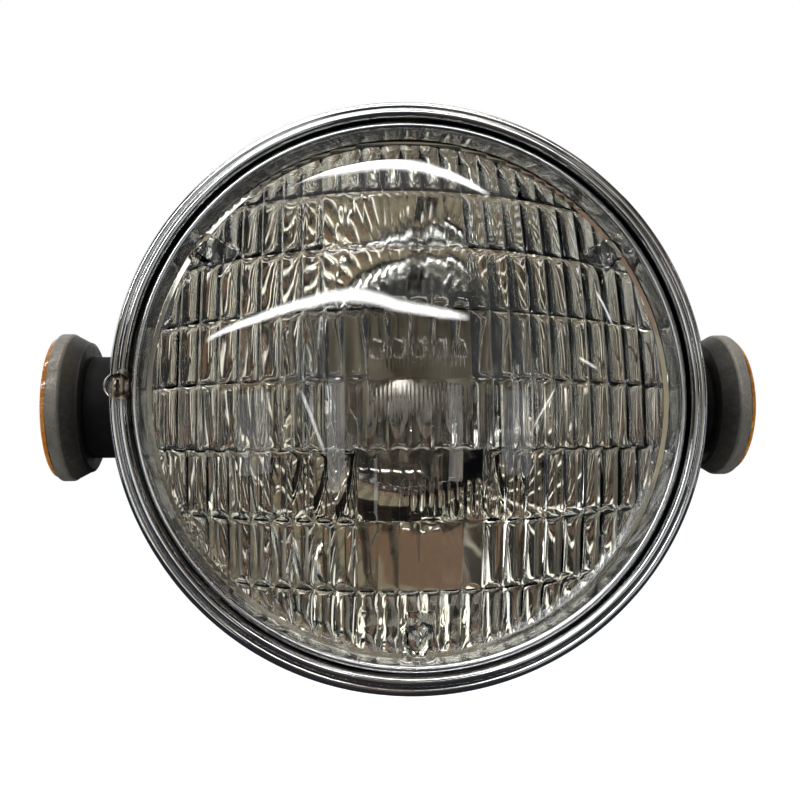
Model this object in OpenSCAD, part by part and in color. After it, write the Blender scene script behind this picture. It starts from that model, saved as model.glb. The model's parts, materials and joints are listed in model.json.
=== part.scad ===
// Round seven inch motorcycle headlight with a sealed beam, an aimable beam ring and two side reflectors.
// The origin is the midpoint between the two side mounting studs. The lamp shines towards -Y, and +Z is up.
// Round pieces are written as outlines of [radius, depth], where depth counts backwards from the rim's front.

/* [Sealed beam] */
// Outside radius of the glass flange, which every round piece of the lamp follows
beam_r = 88.0; // [80:0.5:100]
// Width of the glass flange that the retaining ring's sloped wall covers
glass_edge = 1.8; // [1.4:0.1:2.4]
// Radius of the lens's front surface
lens_curve = 180; // [165:1:220]
// Thickness of the lens glass at its middle
lens_t = 4.0; // [3:0.1:5]
// Number of pressed rows across the lens
rows = 8; // [6:2:10]
// Width of one upright flute
flute_w = 6.5; // [5:0.5:9]
// Height that a strong flute stands off the glass
flute_h = 0.9; // [0.5:0.1:1.2]
// Height that a flute in the clear blocks stands off the glass
faint_h = 0.15; // [0.1:0.05:0.3]
// Thickness of the glass reflector bowl
bowl_t = 3.2; // [2.5:0.1:4]
// Focal length of the reflector bowl as a share of its radius
focal_share = 0.3214; // [0.3:0.01:0.36]
// Depth of the shoulder pressed into the bowl around its neck
shoulder_h = 2.5; // [1:0.1:3]
// Radius of that shoulder
shoulder_r = 41; // [34:1:46]

/* [Beam ring] */
// Thickness of the retaining ring's sheet metal
ring_t = 0.8; // [0.6:0.1:0.9]
// Distance that the ring's rolled crest stands out past its skirt
crest_out = 1.0; // [0.8:0.1:1.1]
// Thickness of the mounting ring behind the beam
seat_t = 1.2; // [1:0.1:1.5]
// Length of the four ears that join the two rings
ear_len = 6; // [5.5:0.1:6]

/* [Rim] */
// Gap between the retaining ring's crest and the rim's lip
rim_gap = 0.9; // [0.7:0.1:1.2]
// Width of the double bead rolled into the rim's front
bead_w = 5.8; // [5.6:0.1:6.2]
// Distance that the rim's skirt flares out past the bead
flare = 3.1; // [2.8:0.1:4]
// Thickness of the rim's sheet metal
rim_t = 0.8; // [0.6:0.1:0.9]
// Length of the rim from its front to the end of the skirt
rim_len = 29; // [28:0.5:30]

/* [Aiming] */
// Shank radius of the adjusting screw
screw_r = 2.0; // [1.8:0.05:2.1]
// Head radius of the adjusting screw
head_r = 3.2; // [2.9:0.1:3.3]
// Length of the adjusting screw under its head
screw_len = 24; // [22:0.5:28]
// Depth of the upright pivot axis behind the rim's front
pivot_at = 16; // [15.5:0.1:16.5]
// Radius of the two pivot screws
pivot_r = 2.0; // [1.5:0.1:2.3]

/* [Shell] */
// Thickness of the shell's sheet metal
shell_t = 1.2; // [1:0.1:1.5]
// Room for the wiring between the terminals and the shell's back
wire_room = 17.2; // [12:0.2:30]
// Radius of the hole for the wiring
wire_r = 15; // [12:0.5:18]

/* [Side mounts] */
// Height that the flat boss on each side stands past the shell's widest part
boss_out = 0.2; // [0.2:0.1:1]
// Radius of the black spacer
spacer_r = 18.3; // [16:0.1:19]
// Length of the black spacer
spacer_len = 13; // [11:0.2:20]
// Room between the rim's skirt and the spacer
spacer_room = 2.7; // [2:0.1:6]
// Radius of the mounting studs
stud_r = 4.0; // [3:0.1:5]

/* [Reflectors] */
// Radius of the reflector body's outer band
refl_r = 26.5; // [25.5:0.1:30]
// Radius where the reflector body's cone starts
cone_r = 23.4; // [21:0.1:24]
// Length of the reflector body
refl_len = 10.5; // [10:0.1:13]
// Length of its outer band
band_len = 4.2; // [3.6:0.1:5]
// Height that the amber lens stands proud of its body
amber_h = 2.5; // [1.5:0.1:4]
// Part of that height that is its straight side
amber_side = 1.8; // [0.5:0.1:2.2]

/* [Hidden] */
$fn = 96;

// Shared clearances
fit = 0.05;
slack = 0.2;
through = 1;

// Radii of the round pieces, from the glass outwards
glass_r = beam_r - glass_edge;
ring_r = beam_r + slack + ring_t;
crest_r = ring_r + crest_out;
lip_r = crest_r + rim_gap;
bead_r = lip_r + bead_w;
rim_r = bead_r + flare;
shell_r = rim_r - rim_t - slack;
ear_r = ring_r + ear_len;
screw_at = (lip_r + bead_r) / 2;

// Distance from the mounting studs forward to the rim's foremost edge
rim_front = rim_len + spacer_room + spacer_r;

// Rim
bead_curve = 1.5;
cup_wall = 0.6;
cup_r = head_r + 0.6;
cup_floor = 4.6;
cup_end = 12;
half_bulge_r = lip_r + 2.1;

// Beam ring and glass
crest_curve = 1.2;
crest_depth = 2.2;
seat_depth = 19;
flange_front = 8.85;
seal_depth = 12.6;
window_r = beam_r - 4;
bowl_foot_r = window_r;
focal = bowl_foot_r * focal_share;
sphere_at = flange_front + sqrt(lens_curve * lens_curve - glass_r * glass_r);
back_curve = lens_curve - lens_t;
row_angle = 2 * asin(window_r / back_curve) / rows;
apex_depth = seal_depth + bowl_foot_r * bowl_foot_r / (4 * focal);
base_r = 17;
base_len = 5;
base_depth = apex_depth + shoulder_h + base_len;
focus_depth = apex_depth - focal;
ear_angles = [45, 135, 225, 315];
ear_half = 6;
ear_screw_at = ring_r + 3.3;
ear_screw_r = 1.5;
ear_head_r = 2.6;
ear_head_h = 1.6;
lip_in = 1.6;
lip_out = lip_in + seat_t;
seat_lip = 4;

// Aiming pads on the lens: angle of each and the shared front plane
pad_angles = [34.5, 145.5, 270];
pad_at = beam_r - 7;
pad_r = 4.5;
pad_depth = 1.6;
pad_len = 11;

// Left and right edges of the clear blocks above and below the middle of the lens
upper_block = window_r * [-0.37, 0.19];
lower_block = window_r * [-0.232, 0.232];

// Adjuster
head_h = 2.4;
nut_wall = 0.7;
swing = 0.3;
nut_neck_r = screw_r + swing + nut_wall;
nut_neck_len = 2.5;
nut_len = 2.8;
lug_half = 7;
aim_travel = 3.3;
spring_wire = 0.35;
spring_turns = 7;

// Pivots
tab_z = ring_r + 1;
tab_t = 1.5;
tab_half = 7;
bracket_gap = 0.8;
bracket_z = tab_z + tab_t + bracket_gap;
bracket_half = 9;
bracket_front = pivot_at - 4;
bracket_back = pivot_at + 4;
pivot_head_h = 1.5;

// Electrical parts
terminal_at = 11;
terminal_w = 8;
terminal_t = 0.8;
terminal_len = 13;
ferrule_r = 4.5;
ferrule_h = 1.2;
wire_rad = 0.6;
filament_half = 3.2;
dip_up = 4.5;
shield_t = 0.4;
shield_r = 11;
shield_deep = 4;
shield_depth = focus_depth - 9;
shield_line = [
    [0, shield_depth],
    [shield_r * 0.55, shield_depth],
    [shield_r * 0.82, shield_depth + shield_deep * 0.35],
    [shield_r, shield_depth + shield_deep]
];
bead = 0.8;

// Shell
shell_front = bracket_back + 0.5;
skirt_end = rim_len + 2;
shell_back = base_depth + ferrule_h + terminal_len + wire_room + shell_t;
dome_start = rim_front + 8;
back_r = 36;
boss_r = spacer_r + 1.2;
flat_at = shell_r + boss_out;
boss_root = sqrt(pow(shell_r - 1.5 * shell_t, 2) - boss_r * boss_r);
rim_screw_angles = [30, 150];
rim_screw_depth = (shell_front + rim_len) / 2;
rim_screw_head_r = 3.6;
rim_screw_r = 2.5;
rim_screw_len = 7.5;
clip_half = 6;
clip_t = 1.4;
clip_boss_r = 3.8;
clip_boss_len = 4;
grommet_r = wire_r + 8;
grommet_seat_r = wire_r + 4;
grommet_lip = 3;

// Side mounts, counted outwards from the middle
spacer_end = flat_at + spacer_len;
refl_end = spacer_end + refl_len;
washer_t = 1.6;
nut_h = 6.5;
nut_r = 7.5;
stud_start = flat_at - shell_t - washer_t - nut_h - 1.5;

// Point on an arc: 180 is inwards, 90 is forwards and 0 is outwards
function on_arc(centre, r, a) = centre + r * [cos(a), -sin(a)];
function arc(centre, r, from, to, n) = [for (i = [0:n]) on_arc(centre, r, from + (to - from) * i / n)];

// Unit normal of a segment, and the mitred normal at a corner of an outline
function seg_normal(a, b) = let (d = b - a) [-d[1], d[0]] / norm(d);
function corner_normal(p, i) =
    let (last = len(p) - 1)
    let (before = seg_normal(p[max(i - 1, 0)], p[max(i, 1)]))
    let (after = seg_normal(p[min(i, last - 1)], p[min(i + 1, last)]))
    let (both = before + after)
    both * 2 / (both * both);
function beside(p, t) = [for (i = [0:len(p) - 1]) p[i] + t * corner_normal(p, i)];
function reversed(p) = [for (i = [len(p) - 1:-1:0]) p[i]];
function sheet(p, t) = concat(p, reversed(beside(p, t)));

// Rim outline from the lip over both beads to the skirt
rim_flank = [
    [bead_r, 6],
    [bead_r + 0.7, 9.5],
    [rim_r - 1.2, 13],
    [rim_r - 0.3, 16],
    [rim_r, 19],
    [rim_r, rim_len]
];
rim_line = concat(
    [[lip_r, 6.5]],
    arc([lip_r + bead_curve, bead_curve], bead_curve, 180, 40, 6),
    arc([bead_r - bead_curve, bead_curve + 1.2], bead_curve, 150, 0, 6),
    rim_flank
);

// Retaining ring outline from the glass up the sloped wall, over the crest and back along the skirt
ring_line = concat(
    [[glass_r, flange_front - 0.25]],
    arc([crest_r - crest_curve, crest_depth + crest_curve], crest_curve, 160, 0, 7),
    [[ring_r, 6], [ring_r, seat_depth]]
);

// Reflector bowl outline from the middle outwards: a parabola with a shoulder around the neck
function bowl_depth(r) = apex_depth - r * r / (4 * focal);
bowl_line = concat(
    [for (i = [0:5]) let (r = shoulder_r * i / 5) [r, bowl_depth(r) + shoulder_h]],
    [for (i = [0:10]) let (r = shoulder_r + 2 + (bowl_foot_r - shoulder_r - 2) * i / 10) [r, bowl_depth(r)]]
);

// Shell outline, from the open front edge back along the side and round to the flat back
function dome_r(u) = back_r + (shell_r - shell_t - back_r) * pow(1 - pow(u, 2.6), 1 / 2.6);
shell_line = concat(
    [[shell_r, shell_front], [shell_r, skirt_end], [shell_r - shell_t, skirt_end + 4]],
    [for (i = [0:14]) let (u = sin(i * 90 / 14)) [dome_r(u), dome_start + (shell_back - dome_start) * u]],
    [[grommet_seat_r, shell_back]]
);

// Body of revolution about the lamp's axis, from an outline of [radius, depth]
module turned(p) {
    translate([0, -rim_front, 0])
        rotate([-90, 0, 0])
            rotate_extrude()
                polygon(p);
}

// Straight round bar along the lamp's axis at x, z between two depths
module bar(x, z, from, to, r) {
    translate([x, from - rim_front, z])
        rotate([-90, 0, 0])
            cylinder(r = r, h = to - from);
}

// Block between two corners given as [x, depth, z]
module block(low, high) {
    translate([low[0], low[1] - rim_front, low[2]])
        cube(high - low);
}

// Turns children from the +X side around the lamp's axis, counted upwards from +X
module around(angle) {
    rotate([0, -angle, 0])
        children();
}

// Body of revolution about the mounting axis on one side, from an outline of [radius, distance]
module sideways(side, p) {
    mirror([side < 0 ? 1 : 0, 0, 0])
        rotate([0, 90, 0])
            rotate_extrude()
                polygon(p);
}

// Straight round wire between two points given as [x, depth, z]
module wire(a, b, r) {
    d = b - a;
    translate([a[0], a[1] - rim_front, a[2]])
        rotate([0, acos(d[2] / norm(d)), atan2(d[1], d[0])])
            cylinder(r = r, h = norm(d), $fn = 24);
}

// Everything inside the rim's flank, used to seat pieces against the sheet
module inside_rim() {
    turned(concat([[0, 6]], beside(rim_flank, rim_t), [[0, rim_len]]));
}

// Plain disc about the lamp's axis between two depths, used as a cutter
module disc(r, from, to) {
    turned([[0, from], [r, from], [r, to], [0, to]]);
}

module outer_rim() {
    color([0.62, 0.64, 0.66])
    difference() {
        union() {
            turned(sheet(rim_line, rim_t));
            difference() {
                bar(-screw_at, 0, 0.9, cup_floor + rim_t, cup_r + cup_wall);
                disc(lip_r, 0, cup_end + through);
            }
            difference() {
                bar(-screw_at, 0, cup_floor, cup_end, cup_r + cup_wall);
                disc(half_bulge_r, 0, cup_end + through);
            }
        }
        bar(-screw_at, 0, -through, cup_floor, cup_r);
        bar(-screw_at, 0, cup_floor + rim_t, cup_end, cup_r);
        bar(-screw_at, 0, 0, cup_end, screw_r + fit);
        for (angle = rim_screw_angles)
            around(angle)
                rim_screw_hole();
    }
}

module rim_screw_hole() {
    translate([shell_r - rim_screw_len, rim_screw_depth - rim_front, 0])
        rotate([0, 90, 0])
            cylinder(r = rim_screw_r + fit, h = 2 * rim_screw_len);
}

module retaining_ring() {
    color([0.55, 0.57, 0.6])
    difference() {
        union() {
            turned(sheet(ring_line, ring_t));
            for (angle = ear_angles)
                around(angle)
                    block(
                        [ring_r - ring_t / 2, seat_depth - ring_t, -ear_half],
                        [ear_r, seat_depth, ear_half]
                    );
        }
        ear_holes();
    }
}

module ear_holes() {
    for (angle = ear_angles)
        bar(
            ear_screw_at * cos(angle), ear_screw_at * sin(angle), seat_depth - ring_t - through,
            seat_depth + seat_t + through, ear_screw_r
        );
}

module ring_screws() {
    color([0.6, 0.58, 0.52])
    for (angle = ear_angles) {
        x = ear_screw_at * cos(angle);
        z = ear_screw_at * sin(angle);
        bar(x, z, seat_depth - ring_t - ear_head_h, seat_depth - ring_t, ear_head_r);
        bar(x, z, seat_depth - ring_t - ear_head_h / 2, seat_depth + seat_t + ear_head_h, ear_screw_r);
    }
}

module mount_ring() {
    color([0.66, 0.63, 0.55])
    difference() {
        union() {
            turned([
                [window_r + lip_in, seat_depth], [ring_r + lip_in, seat_depth],
                [ring_r + lip_in, seat_depth + seat_t], [window_r + lip_out, seat_depth + seat_t],
                [window_r + lip_out, seat_depth + seat_lip], [window_r + lip_in, seat_depth + seat_lip]
            ]);
            for (angle = ear_angles)
                around(angle)
                    block([ring_r, seat_depth, -ear_half], [ear_r, seat_depth + seat_t, ear_half]);
            block([-screw_at - head_r, seat_depth, -lug_half], [-ring_r, seat_depth + seat_t, lug_half]);
            for (side = [0, 1])
                mirror([0, 0, side]) {
                    block(
                        [-tab_half, seat_depth, ring_r - tab_t],
                        [tab_half, seat_depth + seat_t, tab_z + tab_t]
                    );
                    block([-tab_half, bracket_front, tab_z], [tab_half, seat_depth + seat_t, tab_z + tab_t]);
                }
        }
        ear_holes();
        bar(-screw_at, 0, seat_depth - through, seat_depth + seat_t + through, nut_neck_r);
        pivot_hole(tab_z - through, tab_z + tab_t + through);
    }
}

// Upright hole for both pivot screws, between two heights
module pivot_hole(from, to) {
    for (side = [0, 1])
        mirror([0, 0, side])
            translate([0, pivot_at - rim_front, from])
                cylinder(r = pivot_r + fit, h = to - from);
}

// Height of the flutes at a place on the lens: strong at the sides and in the middle rows,
// nearly flat in the clear blocks above and below the middle
function flute_at(x, row) =
    row > 1 && row < rows / 2 && x > upper_block[0] && x < upper_block[1] ? faint_h :
    row < -1 && row > -rows / 2 && x > lower_block[0] && x < lower_block[1] ? faint_h :
    flute_h;

// Row outline in the sphere's own frame: a flute's crown, its two shoulders and the valley between flutes
function row_outline(row) =
    let (count = floor(window_r / flute_w + 0.5))
    [
        for (i = [-count:count], s = [-0.5, -0.25, 0, 0.25])
            let (x = (i + s) * flute_w)
            let (a = asin(x / back_curve))
            let (r = back_curve - flute_at(i * flute_w, row) * (1 - 4 * s * s))
            [r * sin(a), -r * cos(a)]
    ];

// Hollow behind one row of flutes, tilted about the sphere's middle to follow the lens
module row_hollow(row) {
    outline = row_outline(row);
    edge = outline[len(outline) - 1][0];
    half = back_curve * tan(row_angle / 2);
    translate([0, sphere_at - rim_front, 0])
        rotate([-(row - sign(row) / 2) * row_angle, 0, 0])
            translate([0, 0, -half])
                linear_extrude(2 * half)
                    polygon(concat(outline, [[edge, -back_curve * 3 / 4], [-edge, -back_curve * 3 / 4]]));
}

module lens() {
    front = [
        for (i = [0:12])
            let (a = asin(glass_r / lens_curve) * i / 12)
            [lens_curve * sin(a), sphere_at - lens_curve * cos(a)]
    ];
    color([0.82, 0.86, 0.84, 0.35])
    union() {
        difference() {
            turned(concat(front, [[beam_r, flange_front], [beam_r, seal_depth], [0, seal_depth]]));
            intersection() {
                disc(window_r, -lens_curve / 4, seal_depth + through);
                union() {
                    for (row = [-rows / 2:rows / 2])
                        if (row != 0)
                            row_hollow(row);
                }
            }
        }
        for (angle = pad_angles)
            around(angle)
                aiming_pad();
    }
}

// Flat-topped pad with a rounded outer end, standing on the glass near its edge
module aiming_pad() {
    bar(pad_at, 0, pad_depth, flange_front, pad_r);
    block([pad_at - pad_len, pad_depth, -pad_r], [pad_at, flange_front - 3, pad_r]);
}

module bowl() {
    color([0.78, 0.79, 0.8])
    difference() {
        union() {
            turned(sheet(bowl_line, bowl_t));
            turned([
                [bowl_foot_r, seal_depth], [beam_r, seal_depth], [beam_r, seat_depth],
                [window_r + 1.4, seat_depth], [bowl_foot_r, seal_depth + bowl_t]
            ]);
            turned([
                [0, bowl_depth(0) + shoulder_h + 1], [base_r, bowl_depth(base_r) + shoulder_h + 1],
                [base_r, base_depth], [0, base_depth]
            ]);
        }
        for (place = terminal_places)
            bar(place[0], place[1], apex_depth - 4, base_depth + through, wire_rad);
    }
}

terminal_places = [[-terminal_at, 0], [terminal_at, 0], [0, terminal_at]];
wire_start = base_depth;
left_tip = [-filament_half, focus_depth, 0];
right_tip = [filament_half, focus_depth, 0];
dip_left = [-filament_half, focus_depth, dip_up];
dip_right = [filament_half, focus_depth, dip_up];
bend_depth = apex_depth - 6;
filament_inset = [bead, 0, 0];

module lead_wires() {
    color([0.5, 0.5, 0.5]) {
        lead([-terminal_at, 0], left_tip);
        lead([terminal_at, 0], right_tip);
        lead([0, terminal_at], dip_left);
        wire(right_tip, dip_right, wire_rad);
        wire(right_tip, [filament_half, shield_depth + shield_t, 0], wire_rad);
    }
}

// One support wire: straight out of its seal, then slanted to the filament, a bead at the bend and the tip
module lead(place, tip) {
    bend = [place[0], bend_depth, place[1]];
    bar(place[0], place[1], bend_depth, wire_start, wire_rad);
    wire(bend, tip, wire_rad);
    for (at = [bend, tip])
        translate([at[0], at[1] - rim_front, at[2]])
            sphere(r = bead);
}

module filament_main() {
    color([0.35, 0.35, 0.37])
        wire(left_tip + filament_inset, right_tip - filament_inset, wire_rad);
}

module filament_dip() {
    color([0.35, 0.35, 0.37])
        wire(dip_left + filament_inset, dip_right - filament_inset, wire_rad);
}

module filament_shield() {
    color([0.45, 0.46, 0.47])
        turned(sheet(shield_line, shield_t));
}

module ferrules() {
    color([0.7, 0.62, 0.42])
    for (place = terminal_places)
        difference() {
            bar(place[0], place[1], base_depth, base_depth + ferrule_h, ferrule_r);
            bar(place[0], place[1], base_depth - through, base_depth + ferrule_h / 2, wire_rad);
        }
}

module terminals() {
    color([0.72, 0.66, 0.45])
    for (i = [0:2]) {
        place = terminal_places[i];
        half = i < 2 ? [terminal_t / 2, terminal_w / 2] : [terminal_w / 2, terminal_t / 2];
        block(
            [place[0] - half[0], base_depth + ferrule_h, place[1] - half[1]],
            [place[0] + half[0], base_depth + ferrule_h + terminal_len, place[1] + half[1]]
        );
    }
}

module adjuster_screw() {
    color([0.6, 0.58, 0.54])
    difference() {
        union() {
            bar(-screw_at, 0, cup_floor - head_h / 2, cup_floor, head_r);
            translate([-screw_at, cup_floor - head_h / 2 - rim_front, 0])
                rotate([-90, 0, 0])
                    rotate_extrude()
                        polygon(concat([[0, 0]], arc([0, 0], head_h / 2, 0, 90, 6) * head_scale));
            bar(-screw_at, 0, cup_floor - head_h / 2, cup_floor + screw_len, screw_r);
        }
        for (size = [[2.1, 0.45], [0.45, 2.1]])
            block(
                [-screw_at - size[0], cup_floor - 3, -size[1]],
                [-screw_at + size[0], cup_floor - 1.2, size[1]]
            );
    }
}

head_scale = [[head_r / (head_h / 2), 0], [0, 1]];

module adjuster_nut() {
    color([0.75, 0.72, 0.62])
    difference() {
        union() {
            bar(-screw_at, 0, seat_depth - nut_neck_len, seat_depth + seat_t, nut_neck_r);
            bar(-screw_at, 0, seat_depth + seat_t, seat_depth + seat_t + nut_len, head_r);
        }
        bar(-screw_at, 0, seat_depth - 2 * nut_neck_len, seat_depth + 3 * nut_len, screw_r + swing);
    }
}

// Coil spring around the adjusting screw, drawn at the shortest length that the aiming range leaves it
module adjuster_spring() {
    start = cup_floor + rim_t + spring_wire;
    end = seat_depth - nut_neck_len - aim_travel - spring_wire;
    coil_r = screw_r + spring_wire + 0.25;
    steps = 16 * spring_turns;
    sides = 6;
    points = [
        for (i = [0:steps], j = [0:sides - 1])
            let (turn = 360 * i / 16)
            let (r = coil_r + spring_wire * cos(360 * j / sides))
            [r * cos(turn), start + (end - start) * i / steps + spring_wire * sin(360 * j / sides), r * sin(turn)]
    ];
    tube = [
        for (i = [0:steps - 1], j = [0:sides - 1])
            let (next = (j + 1) % sides)
            [i * sides + j, i * sides + next, (i + 1) * sides + next, (i + 1) * sides + j]
    ];
    caps = [[for (j = [sides - 1:-1:0]) j], [for (j = [0:sides - 1]) steps * sides + j]];
    color([0.5, 0.5, 0.5])
        translate([-screw_at, -rim_front, 0])
            polyhedron(points, concat(tube, caps), convexity = 8);
}

// Bridge spot-welded inside the rim, with the pivot hole in its middle and its feet cut to the rim's slope
module pivot_bracket() {
    color([0.5, 0.49, 0.46])
    difference() {
        intersection() {
            union() {
                block(
                    [-bracket_half, bracket_front, bracket_z],
                    [bracket_half, bracket_back, bracket_z + tab_t]
                );
                for (side = [-1, 1])
                    block(
                        [side * (bracket_half - tab_t / 2) - tab_t / 2, bracket_front, bracket_z],
                        [side * (bracket_half - tab_t / 2) + tab_t / 2, bracket_back, rim_r]
                    );
            }
            inside_rim();
        }
        pivot_hole(bracket_z - through, bracket_z + tab_t + through);
    }
}

module pivot_bracket_top() {
    pivot_bracket();
}

module pivot_bracket_bottom() {
    mirror([0, 0, 1])
        pivot_bracket();
}

// Shouldered pivot screw: its head rests on the bracket and its end carries the mounting ring's tab
module pivot_screw() {
    color([0.62, 0.6, 0.55])
    translate([0, pivot_at - rim_front, 0]) {
        translate([0, 0, tab_z - 0.5])
            cylinder(r = pivot_r, h = bracket_z + tab_t - tab_z + 0.5);
        translate([0, 0, bracket_z + tab_t])
            cylinder(r = pivot_r + 1.4, h = pivot_head_h);
    }
}

module pivot_screw_top() {
    pivot_screw();
}

module pivot_screw_bottom() {
    mirror([0, 0, 1])
        pivot_screw();
}

module shell() {
    color([0.07, 0.07, 0.08])
    difference() {
        union() {
            turned(sheet(shell_line, shell_t));
            for (side = [-1, 1])
                sideways(side, [[0, boss_root], [boss_r, boss_root], [boss_r, flat_at], [0, flat_at]]);
        }
        for (side = [-1, 1]) {
            boss_cut(side, boss_r - shell_t, flat_at - shell_t);
            boss_cut(side, stud_r + fit, flat_at + through);
        }
        for (angle = rim_screw_angles)
            around(angle)
                rim_screw_hole();
    }
}

// Round cutter from inside the shell out through a side boss
module boss_cut(side, r, end) {
    sideways(side, [[0, flat_at - boss_r], [r, flat_at - boss_r], [r, end], [0, end]]);
}

module rim_screws() {
    color([0.6, 0.58, 0.54])
    for (angle = rim_screw_angles)
        around(angle)
            translate([0, rim_screw_depth - rim_front, 0])
                rotate([0, 90, 0])
                    rotate_extrude()
                        polygon([
                            [0, shell_r - rim_screw_len], [rim_screw_r, shell_r - rim_screw_len],
                            [rim_screw_r, rim_r], [rim_screw_head_r, rim_r],
                            [rim_screw_head_r, rim_r + rim_screw_r * 0.4],
                            [rim_screw_head_r * 0.56, rim_r + rim_screw_r * 0.8],
                            [0, rim_r + rim_screw_r * 0.8]
                        ]);
}

module clip_nuts() {
    inner = shell_r - shell_t;
    color([0.5, 0.49, 0.46])
    for (angle = rim_screw_angles)
        around(angle)
            difference() {
                union() {
                    block(
                        [inner - slack - clip_t, shell_front + 0.5, -clip_half],
                        [inner - slack, skirt_end, clip_half]
                    );
                    translate([inner - clip_t - clip_boss_len, rim_screw_depth - rim_front, 0])
                        rotate([0, 90, 0])
                            cylinder(r = clip_boss_r, h = clip_boss_len);
                }
                translate([inner - clip_t - 2 * clip_boss_len, rim_screw_depth - rim_front, 0])
                    rotate([0, 90, 0])
                        cylinder(r = rim_screw_r, h = 4 * clip_boss_len);
            }
}

module grommet() {
    color([0.05, 0.05, 0.05])
    turned([
        [wire_r, shell_back - shell_t - grommet_lip], [grommet_r, shell_back - shell_t - grommet_lip],
        [grommet_r, shell_back - shell_t], [grommet_seat_r, shell_back - shell_t],
        [grommet_seat_r, shell_back], [grommet_r, shell_back],
        [grommet_r - 2, shell_back + grommet_lip], [wire_r, shell_back + grommet_lip]
    ]);
}

module spacer(side) {
    color([0.05, 0.05, 0.055])
    sideways(side, [
        [stud_r + fit, flat_at], [spacer_r - 0.8, flat_at], [spacer_r, flat_at + 0.8],
        [spacer_r, spacer_end], [stud_r + fit, spacer_end]
    ]);
}

module spacer_left() {
    spacer(-1);
}

module spacer_right() {
    spacer(1);
}

module mount_studs() {
    stud_end = refl_end - 4.5;
    color([0.55, 0.54, 0.5])
    for (side = [-1, 1])
        sideways(side, [[0, stud_start], [stud_r, stud_start], [stud_r, stud_end], [0, stud_end]]);
}

module mount_washers() {
    outer = flat_at - shell_t;
    color([0.6, 0.58, 0.53])
    for (side = [-1, 1])
        sideways(side, [
            [stud_r + fit, outer - washer_t], [nut_r + 1.5, outer - washer_t],
            [nut_r + 1.5, outer], [stud_r + fit, outer]
        ]);
}

module mount_nuts() {
    outer = flat_at - shell_t - washer_t;
    color([0.58, 0.56, 0.5])
    for (side = [0, 1])
        mirror([side, 0, 0])
            translate([outer - nut_h, 0, 0])
                rotate([0, 90, 0])
                    difference() {
                        cylinder(r = nut_r, h = nut_h, $fn = 6);
                        translate([0, 0, -through])
                            cylinder(r = stud_r, h = nut_h + 2 * through);
                    }
}

// Cast cup of a side reflector: flat disc, cone and band outside, a ledge for the amber lens inside
module reflector_body(side) {
    band_start = refl_end - band_len;
    ledge = refl_end - 2.2;
    floor_at = spacer_end + 2.8;
    color([0.42, 0.41, 0.39])
    sideways(side, [
        [stud_r, spacer_end], [cone_r - 1.2, spacer_end],
        [cone_r, spacer_end + 0.6], [cone_r, spacer_end + 1.2],
        [refl_r - 0.5, band_start - 0.2], [refl_r, band_start + 0.4], [refl_r, refl_end - 0.3],
        [refl_r - 0.3, refl_end], [refl_r - 1.2, refl_end], [refl_r - 1.2, ledge], [refl_r - 2.8, ledge],
        [cone_r - 2.4, floor_at], [7, floor_at], [7, refl_end - 3.2], [stud_r, refl_end - 3.2]
    ]);
}

module reflector_body_left() {
    reflector_body(-1);
}

module reflector_body_right() {
    reflector_body(1);
}

module reflector_lens(side) {
    ledge = refl_end - 2.2;
    r = refl_r - 1.2 - slack;
    edge = refl_end + amber_side;
    rise = max(0.3, amber_h - amber_side);
    curve = (r * r + rise * rise) / (2 * rise);
    dome = [
        for (i = [0:8])
            let (a = asin(r / curve) * (1 - i / 8))
            [curve * sin(a), edge + rise - curve + curve * cos(a)]
    ];
    color([0.85, 0.4, 0.05, 0.8])
    sideways(side, concat([[0, ledge], [r, ledge]], dome));
}

module reflector_lens_left() {
    reflector_lens(-1);
}

module reflector_lens_right() {
    reflector_lens(1);
}

outer_rim();
retaining_ring();
ring_screws();
mount_ring();
lens();
bowl();
filament_shield();
filament_main();
filament_dip();
lead_wires();
ferrules();
terminals();
adjuster_screw();
adjuster_nut();
adjuster_spring();
pivot_bracket_top();
pivot_bracket_bottom();
pivot_screw_top();
pivot_screw_bottom();
shell();
rim_screws();
clip_nuts();
grommet();
spacer_left();
spacer_right();
mount_studs();
mount_washers();
mount_nuts();
reflector_body_left();
reflector_body_right();
reflector_lens_left();
reflector_lens_right();
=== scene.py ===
"""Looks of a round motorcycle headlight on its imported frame: smooth turned pieces, a fluted lens, a silvered
bowl, side reflectors and procedural finishes. Shapes are worked out in millimetres and stored in metres.
Depth is the distance behind the rim's front."""

import json
import math

import bmesh
import bpy
import numpy as np
from bpy.props import FloatProperty, FloatVectorProperty, IntProperty, PointerProperty
from mathutils import Matrix, Vector


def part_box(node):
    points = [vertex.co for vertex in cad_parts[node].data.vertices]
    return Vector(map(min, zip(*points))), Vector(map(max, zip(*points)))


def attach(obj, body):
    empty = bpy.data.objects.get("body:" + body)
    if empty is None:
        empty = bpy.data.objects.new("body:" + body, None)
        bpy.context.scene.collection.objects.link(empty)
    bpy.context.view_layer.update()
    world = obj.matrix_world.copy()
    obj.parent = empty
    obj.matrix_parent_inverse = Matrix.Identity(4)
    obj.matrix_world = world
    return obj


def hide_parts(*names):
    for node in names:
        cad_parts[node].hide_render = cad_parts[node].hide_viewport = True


bl_info = {
    "name": "Motorcycle headlight",
    "version": (1, 0, 0),
    "blender": (4, 5, 0),
    "location": "View3D > Sidebar > Headlight",
    "description": "Dresses a round sealed beam headlight with side reflectors",
    "category": "Add Mesh",
}

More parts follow.
